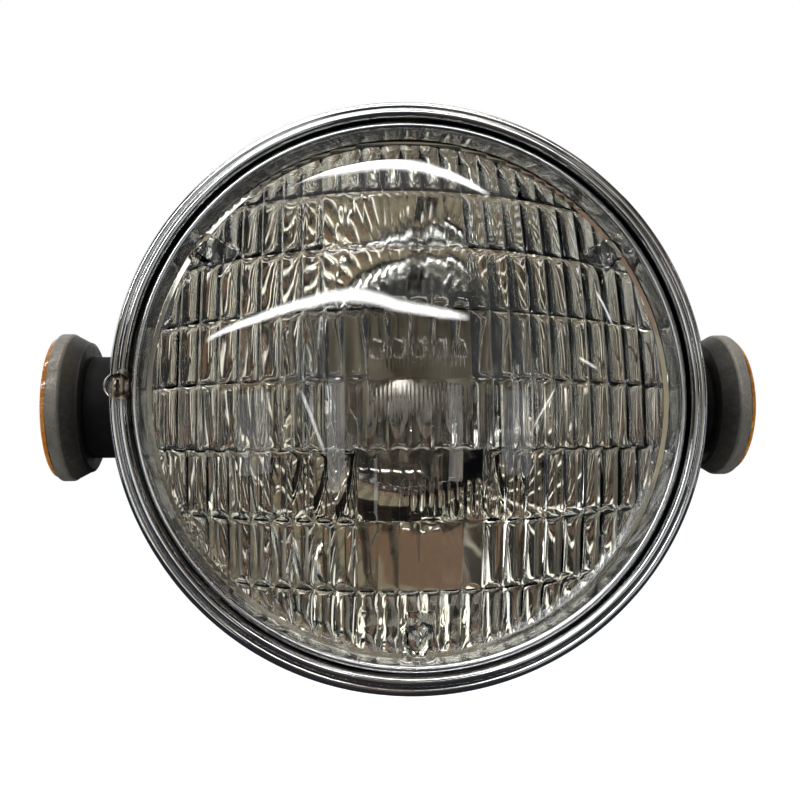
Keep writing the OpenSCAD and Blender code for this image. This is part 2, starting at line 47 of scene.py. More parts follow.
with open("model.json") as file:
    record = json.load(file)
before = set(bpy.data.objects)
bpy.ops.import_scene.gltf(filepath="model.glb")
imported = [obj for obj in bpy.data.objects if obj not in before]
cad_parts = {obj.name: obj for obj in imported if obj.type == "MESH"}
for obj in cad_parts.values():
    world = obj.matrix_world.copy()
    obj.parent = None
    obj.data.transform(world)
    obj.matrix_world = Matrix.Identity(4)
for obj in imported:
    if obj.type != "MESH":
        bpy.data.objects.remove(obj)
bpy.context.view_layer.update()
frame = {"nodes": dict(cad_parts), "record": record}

# Skirt and shell are drawn this much inside the CAD's radius, because the photo's rim is narrower still (metres)
SKIRT_CUT = 0.0006
# Where lens and bowl meet, where the rim's straight skirt and the shell start, and the shell's wall, thin enough
# for the swinging mounting ring to stay clear of it (millimetres)
WINDOW_R, FLANGE_R, SEAL_DEPTH = 84.0, 88.0, 12.6
SKIRT_DEPTH = 20.5
SHELL_WALL = 0.6


def half_width(node):
    """Largest distance of a CAD node from the lamp's axis along X, in metres."""
    low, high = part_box(node)
    return max(-low.x, high.x)


def length(label, text, value):
    return FloatProperty(name=label, description=text, default=value, min=0, unit="LENGTH",
                         subtype="DISTANCE")


def colour(label, text, value):
    return FloatVectorProperty(name=label, description=text, default=value, min=0, max=1, size=3,
                               subtype="COLOR")


class HeadlightSizes(bpy.types.PropertyGroup):
    rim_front: length("Rim front", "Distance from the side studs forward to the rim's front",
                      -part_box("outer_rim")[0].y)
    lip_r: length("Lip radius", "Radius of the opening in the rim's front", 0.0909)
    bead_r: length("Bead radius", "Widest radius of the rim's rolled front", 0.0967)
    rim_r: length("Rim radius", "Outside radius of the rim's skirt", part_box("outer_rim")[1].z - SKIRT_CUT)
    rim_len: length("Rim length", "Length of the rim along its axis", 0.029)
    sheet_t: length("Sheet thickness", "Thickness of the two chrome rings", 0.0008)
    crest_r: length("Crest radius", "Outside radius of the retaining ring's crest", 0.0900)
    ring_r: length("Ring radius", "Outside radius of the retaining ring's skirt", 0.0890)
    glass_r: length("Glass radius", "Radius where the glass meets the retaining ring", 0.0862)
    screw_at: length("Screw distance", "Distance of the aiming screw from the lamp's axis", 0.0938)
    head_r: length("Screw head radius", "Radius of the aiming screw's head", 0.0032)
    lens_curve: length("Lens curve", "Radius of the lens's front surface", 0.180)
    lens_t: length("Lens thickness", "Thickness of the lens at its middle", 0.004)
    flute_w: length("Flute width", "Width of one upright flute", 0.0065)
    flute_h: length("Flute height", "Height that a strong flute stands off the glass", 0.0009)
    faint_h: length("Faint flute height", "Height of the flutes in the two clear blocks", 0.00012)
    focal: length("Focal length", "Focal length of the bowl's paraboloid", 0.027)
    bowl_t: length("Bowl thickness", "Thickness of the bowl's glass", 0.0032)
    shell_r: length("Shell radius", "Outside radius of the shell's front edge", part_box("shell")[1].z - SKIRT_CUT)
    spacer_r: length("Spacer radius", "Radius of the black spacers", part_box("spacer_left")[1].z)
    refl_r: length("Reflector radius", "Radius of the reflector bodies' outer band",
                   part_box("reflector_body_left")[1].z)
    cone_r: length("Cone radius", "Radius where the reflector bodies' cone starts", 0.0234)
    refl_end: length("Reflector end", "Distance of the reflector bodies' outer edge from the middle",
                     half_width("reflector_body_left"))
    amber_end: length("Amber end", "Distance of the amber lenses' crest from the middle",
                      half_width("reflector_lens_left"))
    amber_side: length("Amber side", "Height of the amber lenses' straight side", 0.0018)
    rows: IntProperty(name="Rows", description="Number of pressed rows across the lens", default=8, min=2, max=12)


class HeadlightColours(bpy.types.PropertyGroup):
    chrome: colour("Chrome", "Colour of the bright plate", (0.60, 0.61, 0.62))
    glass: colour("Glass", "Tint of the lens", (0.955, 0.965, 0.955))
    silver: colour("Silver", "Colour of the silvered bowl", (0.84, 0.83, 0.80))
    black: colour("Black", "Colour of the shell's enamel", (0.012, 0.012, 0.014))
    rubber: colour("Rubber", "Colour of the spacers and the grommet", (0.006, 0.0055, 0.0055))
    alloy: colour("Alloy", "Colour of the cast reflector bodies", (0.155, 0.145, 0.125))
    amber: colour("Amber", "Colour of the side reflectors' lenses", (0.93, 0.33, 0.02))
    zinc: colour("Zinc", "Colour of the plated steel inside", (0.52, 0.49, 0.42))
    nickel: colour("Nickel", "Colour of the screws and the lamp's small metal parts", (0.50, 0.47, 0.42))
    brass: colour("Brass", "Colour of the terminals", (0.60, 0.50, 0.28))


def mm(value):
    return value * 1000.0


# Outlines


def arc(centre, r, start, end, count=24):
    """Points [radius, depth] on a circle: centre + r (cos a, -sin a), for a from start to end degrees.
    0 degrees is outwards, 90 forwards and 180 inwards."""
    a = np.radians(np.linspace(start, end, count))
    return np.column_stack((centre[0] + r * np.cos(a), centre[1] - r * np.sin(a)))


def smooth_line(points, count=40):
    """Catmull-Rom curve through the points: each span blends its two ends with the tangents of their neighbours."""
    p = np.asarray(points, float)
    ends = np.vstack((2 * p[0] - p[1], p, 2 * p[-1] - p[-2]))
    u = np.linspace(0, len(p) - 1 - 1e-9, count)
    i = u.astype(int)
    t = (u - i)[:, None]
    a, b, c, d = ends[i], ends[i + 1], ends[i + 2], ends[i + 3]
    return 0.5 * (2 * b + (c - a) * t + (2 * a - 5 * b + 4 * c - d) * t**2 + (3 * b - a - 3 * c + d) * t**3)


def beside(line, t):
    """Each point moved by t along the mean normal of the two segments that meet there, mitred so the wall keeps its
    thickness."""
    d = np.diff(line, axis=0)
    n = np.column_stack((-d[:, 1], d[:, 0])) / np.linalg.norm(d, axis=1)[:, None]
    both = np.vstack((n[:1], n)) + np.vstack((n, n[-1:]))
    return line + t * 2 * both / np.maximum((both**2).sum(1), 0.5)[:, None]


def sheet(line, t):
    """Closed outline of a wall: the line, then the same line moved by t and run backwards."""
    return np.vstack((line, beside(line, t)[::-1]))


def rounded(points, r, count=5):
    """Closed outline with each corner cut by a quadratic curve that starts and ends r (or 45% of the shorter side)
    away from the corner."""
    p = np.asarray(points, float)
    before, after = np.roll(p, 1, 0) - p, np.roll(p, -1, 0) - p
    lb, la = np.linalg.norm(before, axis=1), np.linalg.norm(after, axis=1)
    cut = np.minimum(r, 0.45 * np.minimum(lb, la))
    a = p + before / lb[:, None] * cut[:, None]
    b = p + after / la[:, None] * cut[:, None]
    t = np.linspace(0, 1, count)[None, :, None]
    curve = a[:, None] * (1 - t) ** 2 + 2 * p[:, None] * t * (1 - t) + b[:, None] * t**2
    out = curve.reshape(-1, 2)
    out[:, 0] = np.maximum(out[:, 0], 0)
    return out


# Meshes


def grid_faces(rows, cols, wrap_rows=False, wrap_cols=False):
    """Quads of a grid of rows x cols points, joined end to end where wrapped."""
    i = np.arange(rows if wrap_rows else rows - 1)[:, None]
    j = np.arange(cols if wrap_cols else cols - 1)[None, :]
    i2, j2 = (i + 1) % rows, (j + 1) % cols
    return np.stack((i * cols + j, i * cols + j2, i2 * cols + j2, i2 * cols + j), -1).reshape(-1, 4)


def turned(outline, axis="Y", origin=(0, 0, 0), steps=256, flip=False):
    """Body of revolution of a closed outline [radius, distance]: radius (cos t, sin t) in the plane across the
    axis, and the distance along it. flip turns the distance round."""
    p = np.asarray(outline, float)
    t = np.linspace(0, 2 * np.pi, steps, endpoint=False)
    r, d = p[:, 0][:, None], p[:, 1][:, None] * (-1 if flip else 1)
    u, v, w = r * np.cos(t), r * np.sin(t), d + 0 * t
    order = {"Y": (u, w, v), "X": (w, u, v), "Z": (u, v, w)}[axis]
    return np.stack(order, -1).reshape(-1, 3) + np.asarray(origin, float), grid_faces(len(p), steps, True, True)


def swept(path, r, sides=10):
    """Closed tube of radius r along a path: a circle in the plane of two vectors square to the path's tangent, with
    each end drawn in to a point."""
    path = np.asarray(path, float)
    tangent = np.gradient(path, axis=0)
    tangent /= np.linalg.norm(tangent, axis=1)[:, None]
    up = np.where(np.abs(tangent[:, 1:2]) < 0.9, np.array([[0.0, 1.0, 0.0]]), np.array([[1.0, 0.0, 0.0]]))
    n = np.cross(tangent, up)
    n /= np.linalg.norm(n, axis=1)[:, None]
    b = np.cross(tangent, n)
    t = np.linspace(0, 2 * np.pi, sides, endpoint=False)[None, :, None]
    size = np.full(len(path), r)
    size[[0, -1]] = 0
    points = path[:, None] + size[:, None, None] * (n[:, None] * np.cos(t) + b[:, None] * np.sin(t))
    return points.reshape(-1, 3), grid_faces(len(path), sides, False, True)


def joined(*parts):
    """Several (points, faces) as one."""
    points, faces, start = [], [], 0
    for p, f in parts:
        points.append(p)
        faces.append(np.asarray(f) + start)
        start += len(p)
    return np.vstack(points), np.vstack(faces)


def clean_mesh(name, points, faces, near, dissolve=False):
    """Mesh from points in millimetres, with doubles closer than near merged and faces turned outwards."""
    mesh = bpy.data.meshes.new(name)
    mesh.from_pydata((points * 0.001).tolist(), [], faces.tolist())
    work = bmesh.new()
    work.from_mesh(mesh)
    bmesh.ops.remove_doubles(work, verts=work.verts, dist=near)
    if dissolve:
        bmesh.ops.dissolve_degenerate(work, edges=work.edges, dist=1e-7)
    bmesh.ops.recalc_face_normals(work, faces=work.faces)
    work.to_mesh(mesh)
    work.free()
    return mesh


def smooth(mesh, sharp=35):
    mesh.shade_smooth()
    mesh.set_sharp_from_angle(angle=math.radians(sharp))


def linked(name, data):
    item = bpy.data.objects.new(name, data)
    bpy.context.scene.collection.objects.link(item)
    return item


def make(name, parts, body, slot, nodes=(), sharp=35):
    """Piece from points in millimetres, smooth but for sharp edges, with its slot's finish. It rides on a body and
    stands for the CAD nodes named."""
    mesh = clean_mesh(name, *parts, 2e-6, dissolve=True)
    smooth(mesh, sharp)
    piece = linked(name, mesh)
    mesh.materials.append(finish(slot))
    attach(piece, body)
    if nodes:
        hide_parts(*nodes)
    return piece


def cut(piece, cutters):
    """Takes closed cutters out of a piece with an exact Boolean and keeps the result as its mesh."""
    for points, faces in cutters:
        mesh = clean_mesh("cutter", points, faces, 1e-6)
        cutter = linked("cutter", mesh)
        boolean = piece.modifiers.new("Cut", "BOOLEAN")
        boolean.object = cutter
        boolean.operation = "DIFFERENCE"
        boolean.solver = "EXACT"
        bpy.context.view_layer.update()
        graph = bpy.context.evaluated_depsgraph_get()
        result = bpy.data.meshes.new_from_object(piece.evaluated_get(graph))
        piece.modifiers.remove(boolean)
        old, piece.data = piece.data, result
        result.name = piece.name
        bpy.data.meshes.remove(old)
        bpy.data.objects.remove(cutter)
        bpy.data.meshes.remove(mesh)
    smooth(piece.data)
    return piece


# Finishes


class Nodes:
    """Short calls on a node tree. A value is a number, a colour or another node's output."""

    def __init__(self, tree):
        self.tree = tree

    def feed(self, socket, value):
        if isinstance(value, bpy.types.NodeSocket):
            self.tree.links.new(value, socket)
        else:
            is_colour = socket.type == "RGBA" and len(value) == 3
            socket.default_value = (*value, 1) if is_colour else value

    def node(self, kind, inputs=(), output=0, **settings):
        n = self.tree.nodes.new("ShaderNode" + kind)
        for key, value in settings.items():
            setattr(n, key, value)
        for key, value in dict(inputs).items():
            self.feed(n.inputs[key], value)
        return n.outputs[output]

    def ramp(self, value, low, high, out_low=0.0, out_high=1.0):
        return self.node("MapRange", {"Value": value, "From Min": low, "From Max": high, "To Min": out_low,
                                      "To Max": out_high}, clamp=True)

    def math(self, kind, a, b=0.0):
        return self.node("Math", {0: a, 1: b}, operation=kind)

    def product(self, first, *others):
        for other in others:
            first = self.math("MULTIPLY", first, other)
        return first

    def distance(self, a, b):
        return self.math("SQRT", self.math("ADD", self.product(a, a), self.product(b, b)))

    def mix(self, share, a, b):
        """Colour that goes from a to b as the share goes from 0 to 1."""
        return self.node("Mix", {0: share, 6: a, 7: b}, 2, data_type="RGBA")

    def rays(self):
        return self.node("LightPath").node.outputs


class Finish(Nodes):
    """Node material on Object coordinates."""

    def __init__(self, name, **sockets):
        self.material = bpy.data.materials.new(name)
        self.material.use_nodes = True
        super().__init__(self.material.node_tree)
        self.surface = self.tree.nodes["Principled BSDF"]
        self.coords = self.node("TexCoord", (), "Object")
        for socket, value in sockets.items():
            self.put(socket.replace("_", " "), value)

    def put(self, socket, value):
        self.feed(self.surface.inputs[socket], value)
        return self

    def show(self, output):
        self.tree.links.new(output, self.tree.nodes["Material Output"].inputs[0])
        return self.material

    def axes(self):
        return tuple(self.node("SeparateXYZ", {0: self.coords}).node.outputs)

    def placed(self, stretch):
        return self.node("Mapping", {"Vector": self.coords, "Scale": stretch})

    def noise(self, scale, detail=3, rough=0.55, stretch=(1, 1, 1), distortion=0.0):
        return self.node("TexNoise", {"Vector": self.placed(stretch), "Scale": scale, "Detail": detail,
                                      "Roughness": rough, "Distortion": distortion})

    def cells(self, scale, feature="F1", stretch=(1, 1, 1)):
        return self.node("TexVoronoi", {"Vector": self.placed(stretch), "Scale": scale}, feature=feature)

    def bump(self, height, strength, distance):
        self.put("Normal", self.node("Bump", {"Height": height, "Strength": strength, "Distance": distance}))
        return self.material


class Glow(Finish):
    """Material that only shines."""

    def __init__(self, name, c, strength=1.0):
        super().__init__(name)
        self.tree.nodes.remove(self.surface)
        self.surface = self.node("Emission", {"Color": c, "Strength": strength}).node
        self.show(self.surface.outputs[0])


def shade(c, k):
    return tuple(min(1.0, max(0.0, x * k)) for x in c)


def chrome_finish(c):
    """Bright plate: slow haze in the roughness, hairline scratches, a few dull specks and a brown stain round the
    aiming screw."""
    f = Finish("bright_chrome", Metallic=1.0)
    x, _, z = f.axes()
    away = f.distance(f.math("ADD", x, 0.0918), z)
    ragged = f.math("ADD", away, f.ramp(f.noise(300, 3), 0.3, 0.7, -0.0006, 0.0006))
    stain = f.ramp(ragged, 0.0056, 0.0040)
    haze = f.noise(28, 4)
    hair = f.noise(900, 2, 0.7, (1, 0.05, 1))
    speck = f.ramp(f.cells(700), 0.10, 0.16, 1, 0)
    plate = f.mix(f.ramp(haze, 0.35, 0.7), shade(c, 0.94), shade(c, 1.04))
    f.put("Base Color", f.mix(f.product(stain, 0.85), plate, (0.20, 0.15, 0.075)))
    rough = f.math("ADD", f.ramp(haze, 0.3, 0.75, 0.045, 0.11), f.ramp(hair, 0.62, 0.8, 0, 0.05))
    rough = f.math("ADD", rough, f.product(stain, 0.35))
    f.put("Roughness", f.math("ADD", rough, f.product(speck, 0.12)))
    return f.bump(hair, 0.05, 0.00005)


def pitted_chrome_finish(c):
    """Older plate of the retaining ring: dense fine pits, grey haze and a little dirt."""
    f = Finish("pitted_chrome", Metallic=1.0)
    pits = f.ramp(f.cells(1400), 0.12, 0.30, 1, 0)
    haze = f.noise(60, 5, 0.65)
    dirt = f.product(pits, f.ramp(f.noise(190, 3), 0.45, 0.65))
    f.put("Base Color", f.mix(dirt, f.mix(haze, shade(c, 0.90), shade(c, 1.06)), (0.20, 0.19, 0.17)))
    f.put("Roughness", f.math("ADD", f.ramp(haze, 0.3, 0.75, 0.12, 0.24), f.product(dirt, 0.3)))
    return f.bump(f.math("SUBTRACT", haze, f.product(dirt, 0.8)), 0.12, 0.0001)


def glass_finish(c):
    """Pressed glass: clear, with faint waviness, dust and hairline marks."""
    f = Finish("pressed_glass", Transmission_Weight=1.0, IOR=1.5, Base_Color=c)
    dust = f.ramp(f.noise(420, 5, 0.75), 0.60, 0.78, 0.0, 0.10)
    mark = f.ramp(f.noise(700, 2, 0.6, (0.06, 1, 1), 0.8), 0.70, 0.76, 0.0, 0.12)
    f.put("Roughness", f.math("MAXIMUM", dust, mark))
    return f.bump(f.noise(46, 2, 0.4), 0.06, 0.0006)


def silver_finish(c):
    """Silvered glass: mirror with slight pressed-in waves and a warm cast in places. The dark ring low in the bowl
    is painted shade, a band of the distance from the axis, and the dark spokes outside it are a wave of the angle
    about it."""
    f = Finish("silvered_glass", Metallic=1.0)
    wave = f.noise(22, 3, 0.5)
    x, _, z = f.axes()
    r = f.distance(x, z)
    # Painted shade: the dark ring is laid only on the lower part of the bowl
    low = f.ramp(z, -0.004, -0.016)
    ring = f.product(f.ramp(r, 0.0348, 0.0354), f.ramp(r, 0.0404, 0.0396), low)
    spoke = f.ramp(f.math("SINE", f.product(f.math("ARCTAN2", x, z), 64)), -0.1, 0.5)
    spokes = f.product(f.ramp(r, 0.0404, 0.0408), f.ramp(r, 0.0490, 0.0470), low, spoke)
    # dark: the painted shade of the ring, with the dark spokes beside it
    dark = f.math("MAXIMUM", ring, f.product(spokes, 0.7))
    silver = f.mix(f.ramp(wave, 0.35, 0.7), c, (c[0] * 0.96, c[1] * 0.93, c[2] * 0.86))
    f.put("Base Color", f.mix(dark, silver, (0.035, 0.032, 0.028)))
    f.put("Roughness", f.ramp(f.noise(160, 4), 0.35, 0.8, 0.015, 0.07))
    return f.bump(wave, 0.10, 0.0015)


def metal_finish(name, c, low=0.28, high=0.5, grain=260.0, dirt=(0.12, 0.10, 0.07), dirty=0.35):
    """Plain plated or bare metal: uneven brightness, grain in the bump and dirt in cloudy patches."""
    f = Finish(name, Metallic=1.0)
    cloud = f.noise(grain * 0.3, 4)
    fine = f.noise(grain * 4, 2)
    grime = f.product(f.ramp(cloud, 0.5, 0.75), dirty)
    f.put("Base Color", f.mix(grime, f.mix(fine, shade(c, 0.88), shade(c, 1.1)), dirt))
    f.put("Roughness", f.math("ADD", f.ramp(cloud, 0.3, 0.75, low, high), f.product(grime, 0.25)))
    return f.bump(fine, 0.15, 0.00008)


def screw_finish(c):
    """Screws: bright on the crown, with painted shade in the aiming screw's cross recess and on the lower part of
    its head, and brown grime in patches. The cross is where the distance from either plane through the head's axis
    is small."""
    f = Finish("nickel_grime_and_painted_shade", Metallic=1.0)
    x, _, up = f.axes()
    side = f.math("ABSOLUTE", f.math("ADD", x, 0.0938))
    height = f.math("ABSOLUTE", up)
    # Painted shade in the cross recess of the aiming screw's head
    cross_shade = f.product(f.ramp(f.math("MINIMUM", side, height), 0.0007, 0.0004),
                  f.ramp(f.math("MAXIMUM", side, height), 0.0022, 0.0018))
    near = f.ramp(side, 0.0045, 0.0035)
    cloud = f.noise(900, 4, 0.65)
    # Painted shade on the lower part of the head
    low = f.product(near, f.ramp(up, -0.0008, -0.0022))
    # grime: painted shade of the cross and of the head's lower part, and real grime in cloudy patches
    grime = f.math("MAXIMUM", f.math("MAXIMUM", cross_shade, low), f.ramp(cloud, 0.52, 0.68))
    f.put("Metallic", f.math("SUBTRACT", 1.0, f.product(grime, 0.7)))
    f.put("Base Color", f.mix(grime, c, (0.045, 0.036, 0.018)))
    f.put("Roughness", f.math("ADD", f.ramp(cloud, 0.35, 0.7, 0.16, 0.5), f.product(grime, 0.2)))
    return f.bump(cloud, 0.3, 0.0002)


def enamel_finish(c):
    """Black stove enamel: orange peel, faint dust and rubbed places."""
    f = Finish("black_enamel", Coat_Weight=0.4, Coat_Roughness=0.12)
    cloud = f.noise(24, 5, 0.6)
    f.put("Base Color", f.mix(f.ramp(cloud, 0.5, 0.8), c, (0.05, 0.048, 0.045)))
    f.put("Roughness", f.ramp(cloud, 0.3, 0.8, 0.28, 0.5))
    return f.bump(f.noise(600, 2), 0.12, 0.0002)


def rubber_finish(c):
    """Moulded rubber: matt, dusty grey patches and a fine grain."""
    f = Finish("black_rubber", Specular_IOR_Level=0.12)
    cloud = f.noise(70, 5, 0.65)
    f.put("Base Color", f.mix(f.ramp(cloud, 0.5, 0.8), c, (0.016, 0.014, 0.012)))
    f.put("Roughness", f.ramp(cloud, 0.3, 0.75, 0.55, 0.8))
    return f.bump(f.noise(1500, 3), 0.2, 0.0001)


def casting_finish(c):
    """Die casting under old lacquer: painted shade on the cone and towards the spacer, paler on the outer band,
    cloudy, with black specks, a rubbed bright edge, brown stains and a coarse skin."""
    f = Finish("cast_alloy")
    outward = f.math("ABSOLUTE", f.axes()[0])
    cloud = f.noise(85, 5, 0.6)
    grain = f.noise(420, 4, 0.7)
    speck = f.ramp(f.cells(820), 0.08, 0.22, 1, 0)
    start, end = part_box("spacer_right")[1].x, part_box("reflector_body_right")[1].x
    band = f.ramp(outward, end - 0.0048, end - 0.0040)
    ragged = f.math("ADD", outward, f.ramp(cloud, 0.3, 0.7, -0.0008, 0.0006))
    edge = f.ramp(ragged, end - 0.0009, end - 0.0003)
    # Painted shade: the cone is painted darker than the outer band
    shaded_cone_colour = f.mix(cloud, shade(c, 0.2), shade(c, 0.5))
    base = f.mix(band, shaded_cone_colour, f.mix(cloud, shade(c, 0.8), shade(c, 2.1)))
    base = f.mix(f.ramp(grain, 0.45, 0.7), base, f.mix(band, shade(c, 0.65), shade(c, 2.6)))
    base = f.mix(f.product(f.ramp(f.noise(38, 4), 0.52, 0.68), 0.55), base, (0.075, 0.055, 0.035))
    base = f.mix(edge, base, shade(c, 2.6))
    # Painted shade: darker from the outer band in towards the spacer
    base = f.mix(f.ramp(outward, end - 0.0045, start + 0.0005, 0.35, 0.86), base, shade(c, 0.06))
    base = f.mix(band, base, f.mix(0.25, base, shade(c, 2.0)))
    f.put("Base Color", f.mix(f.product(speck, 0.7), base, shade(c, 0.2)))
    metal = f.product(f.ramp(grain, 0.45, 0.7, 0.25, 0.7), f.ramp(band, 0, 1, 0.3, 1))
    f.put("Metallic", f.math("MAXIMUM", metal, edge))
    f.put("Specular IOR Level", f.ramp(band, 0, 1, 0.12, 0.5))
    f.put("Roughness", f.ramp(cloud, 0.3, 0.75, 0.34, 0.58))
    height = f.math("SUBTRACT", f.noise(950, 3), f.product(speck, 0.7))
    return f.bump(height, 0.45, 0.0003)


def amber_finish(c):
    """Clear amber plastic with small prisms moulded into its back, seen as a honeycomb under a glossy face."""
    f = Finish("amber_plastic", Transmission_Weight=0.55, IOR=1.49, Coat_Weight=0.6, Coat_Roughness=0.05)
    prism = f.cells(520, "DISTANCE_TO_EDGE", (0.05, 1, 1))
    cloud = f.noise(60, 4)
    edge = f.ramp(prism, 0.02, 0.10, 1, 0)
    body = f.mix(f.ramp(cloud, 0.4, 0.7), c, (c[0] * 0.96, c[1] * 0.78, c[2]))
    f.put("Base Color", f.mix(f.product(edge, 0.5), body, (0.98, 0.62, 0.22)))
    f.put("Roughness", f.ramp(cloud, 0.3, 0.8, 0.08, 0.25))
    return f.bump(prism, 0.25, 0.0004)


def plastic_finish(name, c):
    """Moulded nylon: slightly yellowed, satin, faint flow marks."""
    f = Finish(name)
    cloud = f.noise(140, 4)
    f.put("Base Color", f.mix(cloud, shade(c, 0.85), shade(c, 1.08)))
    f.put("Roughness", f.ramp(cloud, 0.3, 0.75, 0.38, 0.6))
    return f.bump(f.noise(900, 2), 0.1, 0.0001)


MADE = {}


def finish(name):
    """The named finish, made once from the scene's colours."""
    c = bpy.context.scene.headlight_colours
    makers = {
        "chrome": lambda: chrome_finish(tuple(c.chrome)),
        "ring_chrome": lambda: pitted_chrome_finish(tuple(c.chrome)),
        "clear_glass": lambda: glass_finish(tuple(c.glass)),
        "silvered_glass": lambda: silver_finish(tuple(c.silver)),
        "black_paint": lambda: enamel_finish(tuple(c.black)),
        "black_rubber": lambda: rubber_finish(tuple(c.rubber)),
        "cast_alloy": lambda: casting_finish(tuple(c.alloy)),
        "amber_plastic": lambda: amber_finish(tuple(c.amber)),
        "zinc_steel": lambda: metal_finish("zinc_plate", tuple(c.zinc)),
        "dull_nickel": lambda: screw_finish(tuple(c.nickel)),
        "nickel": lambda: metal_finish("plain_nickel", shade(tuple(c.nickel), 0.9), 0.2, 0.4),
        "spring_steel": lambda: metal_finish("spring_wire", (0.32, 0.31, 0.30)),
        "tungsten": lambda: metal_finish("tungsten_wire", (0.20, 0.20, 0.22), 0.35, 0.55),
        "brass": lambda: metal_finish("tinned_brass", tuple(c.brass), 0.25, 0.45, dirty=0.5),
        "nylon": lambda: plastic_finish("nylon", (0.62, 0.57, 0.44)),
    }
    if name not in MADE:
        MADE[name] = makers[name]()
    return MADE[name]


# Operators


class Piece:
    """Shared by the operators: where the sizes are read."""

    bl_options = {"REGISTER", "UNDO"}

    @property
    def sizes(self):
        return bpy.context.scene.headlight_sizes


class HEADLIGHT_OT_camera(Piece, bpy.types.Operator):
    """Camera at the photograph's place, a little left of the lamp and below it"""

    bl_idname = "headlight.camera"
    bl_label = "Camera"
    place, right = (-0.03001, -0.34017, -0.04852), (0.99649, -0.08213, -0.01623)
    ahead = (0.08363, 0.98555, 0.14729)
    focal, sensor = 41.68, 36

    def execute(self, context):
        place, ahead, right = Vector(self.place), Vector(self.ahead).normalized(), Vector(self.right)
        right = (right - ahead * right.dot(ahead)).normalized()
        up = right.cross(ahead)
        data = bpy.data.cameras.new("front_camera")
        data.sensor_width, data.lens = self.sensor, self.focal
        data.clip_start = 0.01
        camera = linked("front_camera", data)
        camera.matrix_world = Matrix((
            (right.x, up.x, -ahead.x, place.x),
            (right.y, up.y, -ahead.y, place.y),
            (right.z, up.z, -ahead.z, place.z),
            (0, 0, 0, 1),
        ))
        context.scene.camera = camera
        return {"FINISHED"}


class HEADLIGHT_OT_rim(Piece, bpy.types.Operator):
    """Outer rim: two rolled beads, a flared skirt and the recess of the aiming screw"""

    bl_idname = "headlight.rim"
    bl_label = "Rim"

    def execute(self, context):
        s = self.sizes
        lip, bead, rim, front = mm(s.lip_r), mm(s.bead_r), mm(s.rim_r), mm(s.rim_front)
        flare = rim - bead
        flank = smooth_line([
            [bead, 2.7], [bead, 6], [bead + 0.2 * flare, 9.5], [bead + 0.6 * flare, 13],
            [bead + 0.88 * flare, 17], [rim, SKIRT_DEPTH], [rim, 25], [rim, mm(s.rim_len)],
        ], 60)
        line = np.vstack((
            smooth_line([[lip, 6.5], [lip, 4], [lip, 1.5]], 8)[:-1],
            arc([lip + 1.5, 1.5], 1.5, 180, 40, 30),
            arc([bead - 1.5, 2.7], 1.5, 150, 4, 30),
            flank[2:],
        ))
        wall = turned(sheet(line, mm(s.sheet_t)), origin=(0, -front, 0), steps=320)
        piece = make("rim", wall, "housing", "chrome", ["outer_rim"])
        # Round hole for the aiming screw and holes for the two rim screws
        at = (-mm(s.screw_at), -front, 0)
        cup_r = mm(s.head_r) + 0.6
        cutters = [turned([[0, -2], [cup_r + 0.05, -2], [cup_r + 0.05, 4.4], [0, 4.4]], origin=at, steps=64)]
        at_y = (SKIRT_DEPTH + mm(s.rim_len)) / 2 - front
        for angle in (30, 150):
            points, faces = turned([[0, 92], [2.55, 92], [2.55, 104], [0, 104]], "X", steps=48)
            t = math.radians(angle)
            x, y, z = points.T
            points = np.column_stack((x * math.cos(t) - z * math.sin(t), y + at_y,
                                      x * math.sin(t) + z * math.cos(t)))
            cutters.append((points, faces))
        cut(piece, cutters)
        cup = rounded([
            [cup_r, 1.7], [cup_r + 0.6, 1.7], [cup_r + 0.6, 12], [cup_r, 12], [cup_r, 5.4], [2.05, 5.4],
            [2.05, 4.6], [cup_r, 4.6],
        ], 0.3)
        piece = make("rim_cup", turned(cup, origin=at, steps=96), "housing", "chrome")
        # Nothing of the cup stands inside the lip, so the ring that swings there stays clear of it
        clear = [[0, -2], [lip + 0.1, -2], [lip + 0.1, 14], [0, 14]]
        cut(piece, [turned(clear, origin=(0, -front, 0), steps=320)])
        return {"FINISHED"}


class HEADLIGHT_OT_ring(Piece, bpy.types.Operator):
    """Retaining ring: sloped inner wall, rolled crest and skirt with four ears"""

    bl_idname = "headlight.ring"
    bl_label = "Retaining ring"

    def execute(self, context):
        s = self.sizes
        crest, ring, front = mm(s.crest_r), mm(s.ring_r), mm(s.rim_front)
        line = np.vstack((
            smooth_line([[mm(s.glass_r), 8.6], [mm(s.glass_r) + 0.6, 6.9], [crest - 2.25, 3.35]], 14)[:-1],
            arc([crest - 1.2, 3.4], 1.2, 168, 4, 30),
            smooth_line([[crest - 0.1, 4.4], [ring + 0.1, 6], [ring, 8], [ring, 19]], 24),
        ))
        parts = [turned(sheet(line, mm(s.sheet_t)), origin=(0, -front, 0), steps=320)]
        for angle in (45, 135, 225, 315):
            t = math.radians(angle)
            along, across = np.array((math.cos(t), 0, math.sin(t))), np.array((-math.sin(t), 0, math.cos(t)))
            corners = [along * a + across * b + np.array((0, d - front, 0)) for d in (19 - mm(s.sheet_t), 19)
                       for a, b in ((88.5, -6), (95, -6), (95, 6), (88.5, 6))]
            sides = [[0, 1, 2, 3], [4, 5, 6, 7], [0, 1, 5, 4], [1, 2, 6, 5], [2, 3, 7, 6], [3, 0, 4, 7]]
            parts.append((np.array(corners), np.array(sides)))
        make("retainer", joined(*parts), "beam", "ring_chrome", ["retaining_ring"])
        return {"FINISHED"}


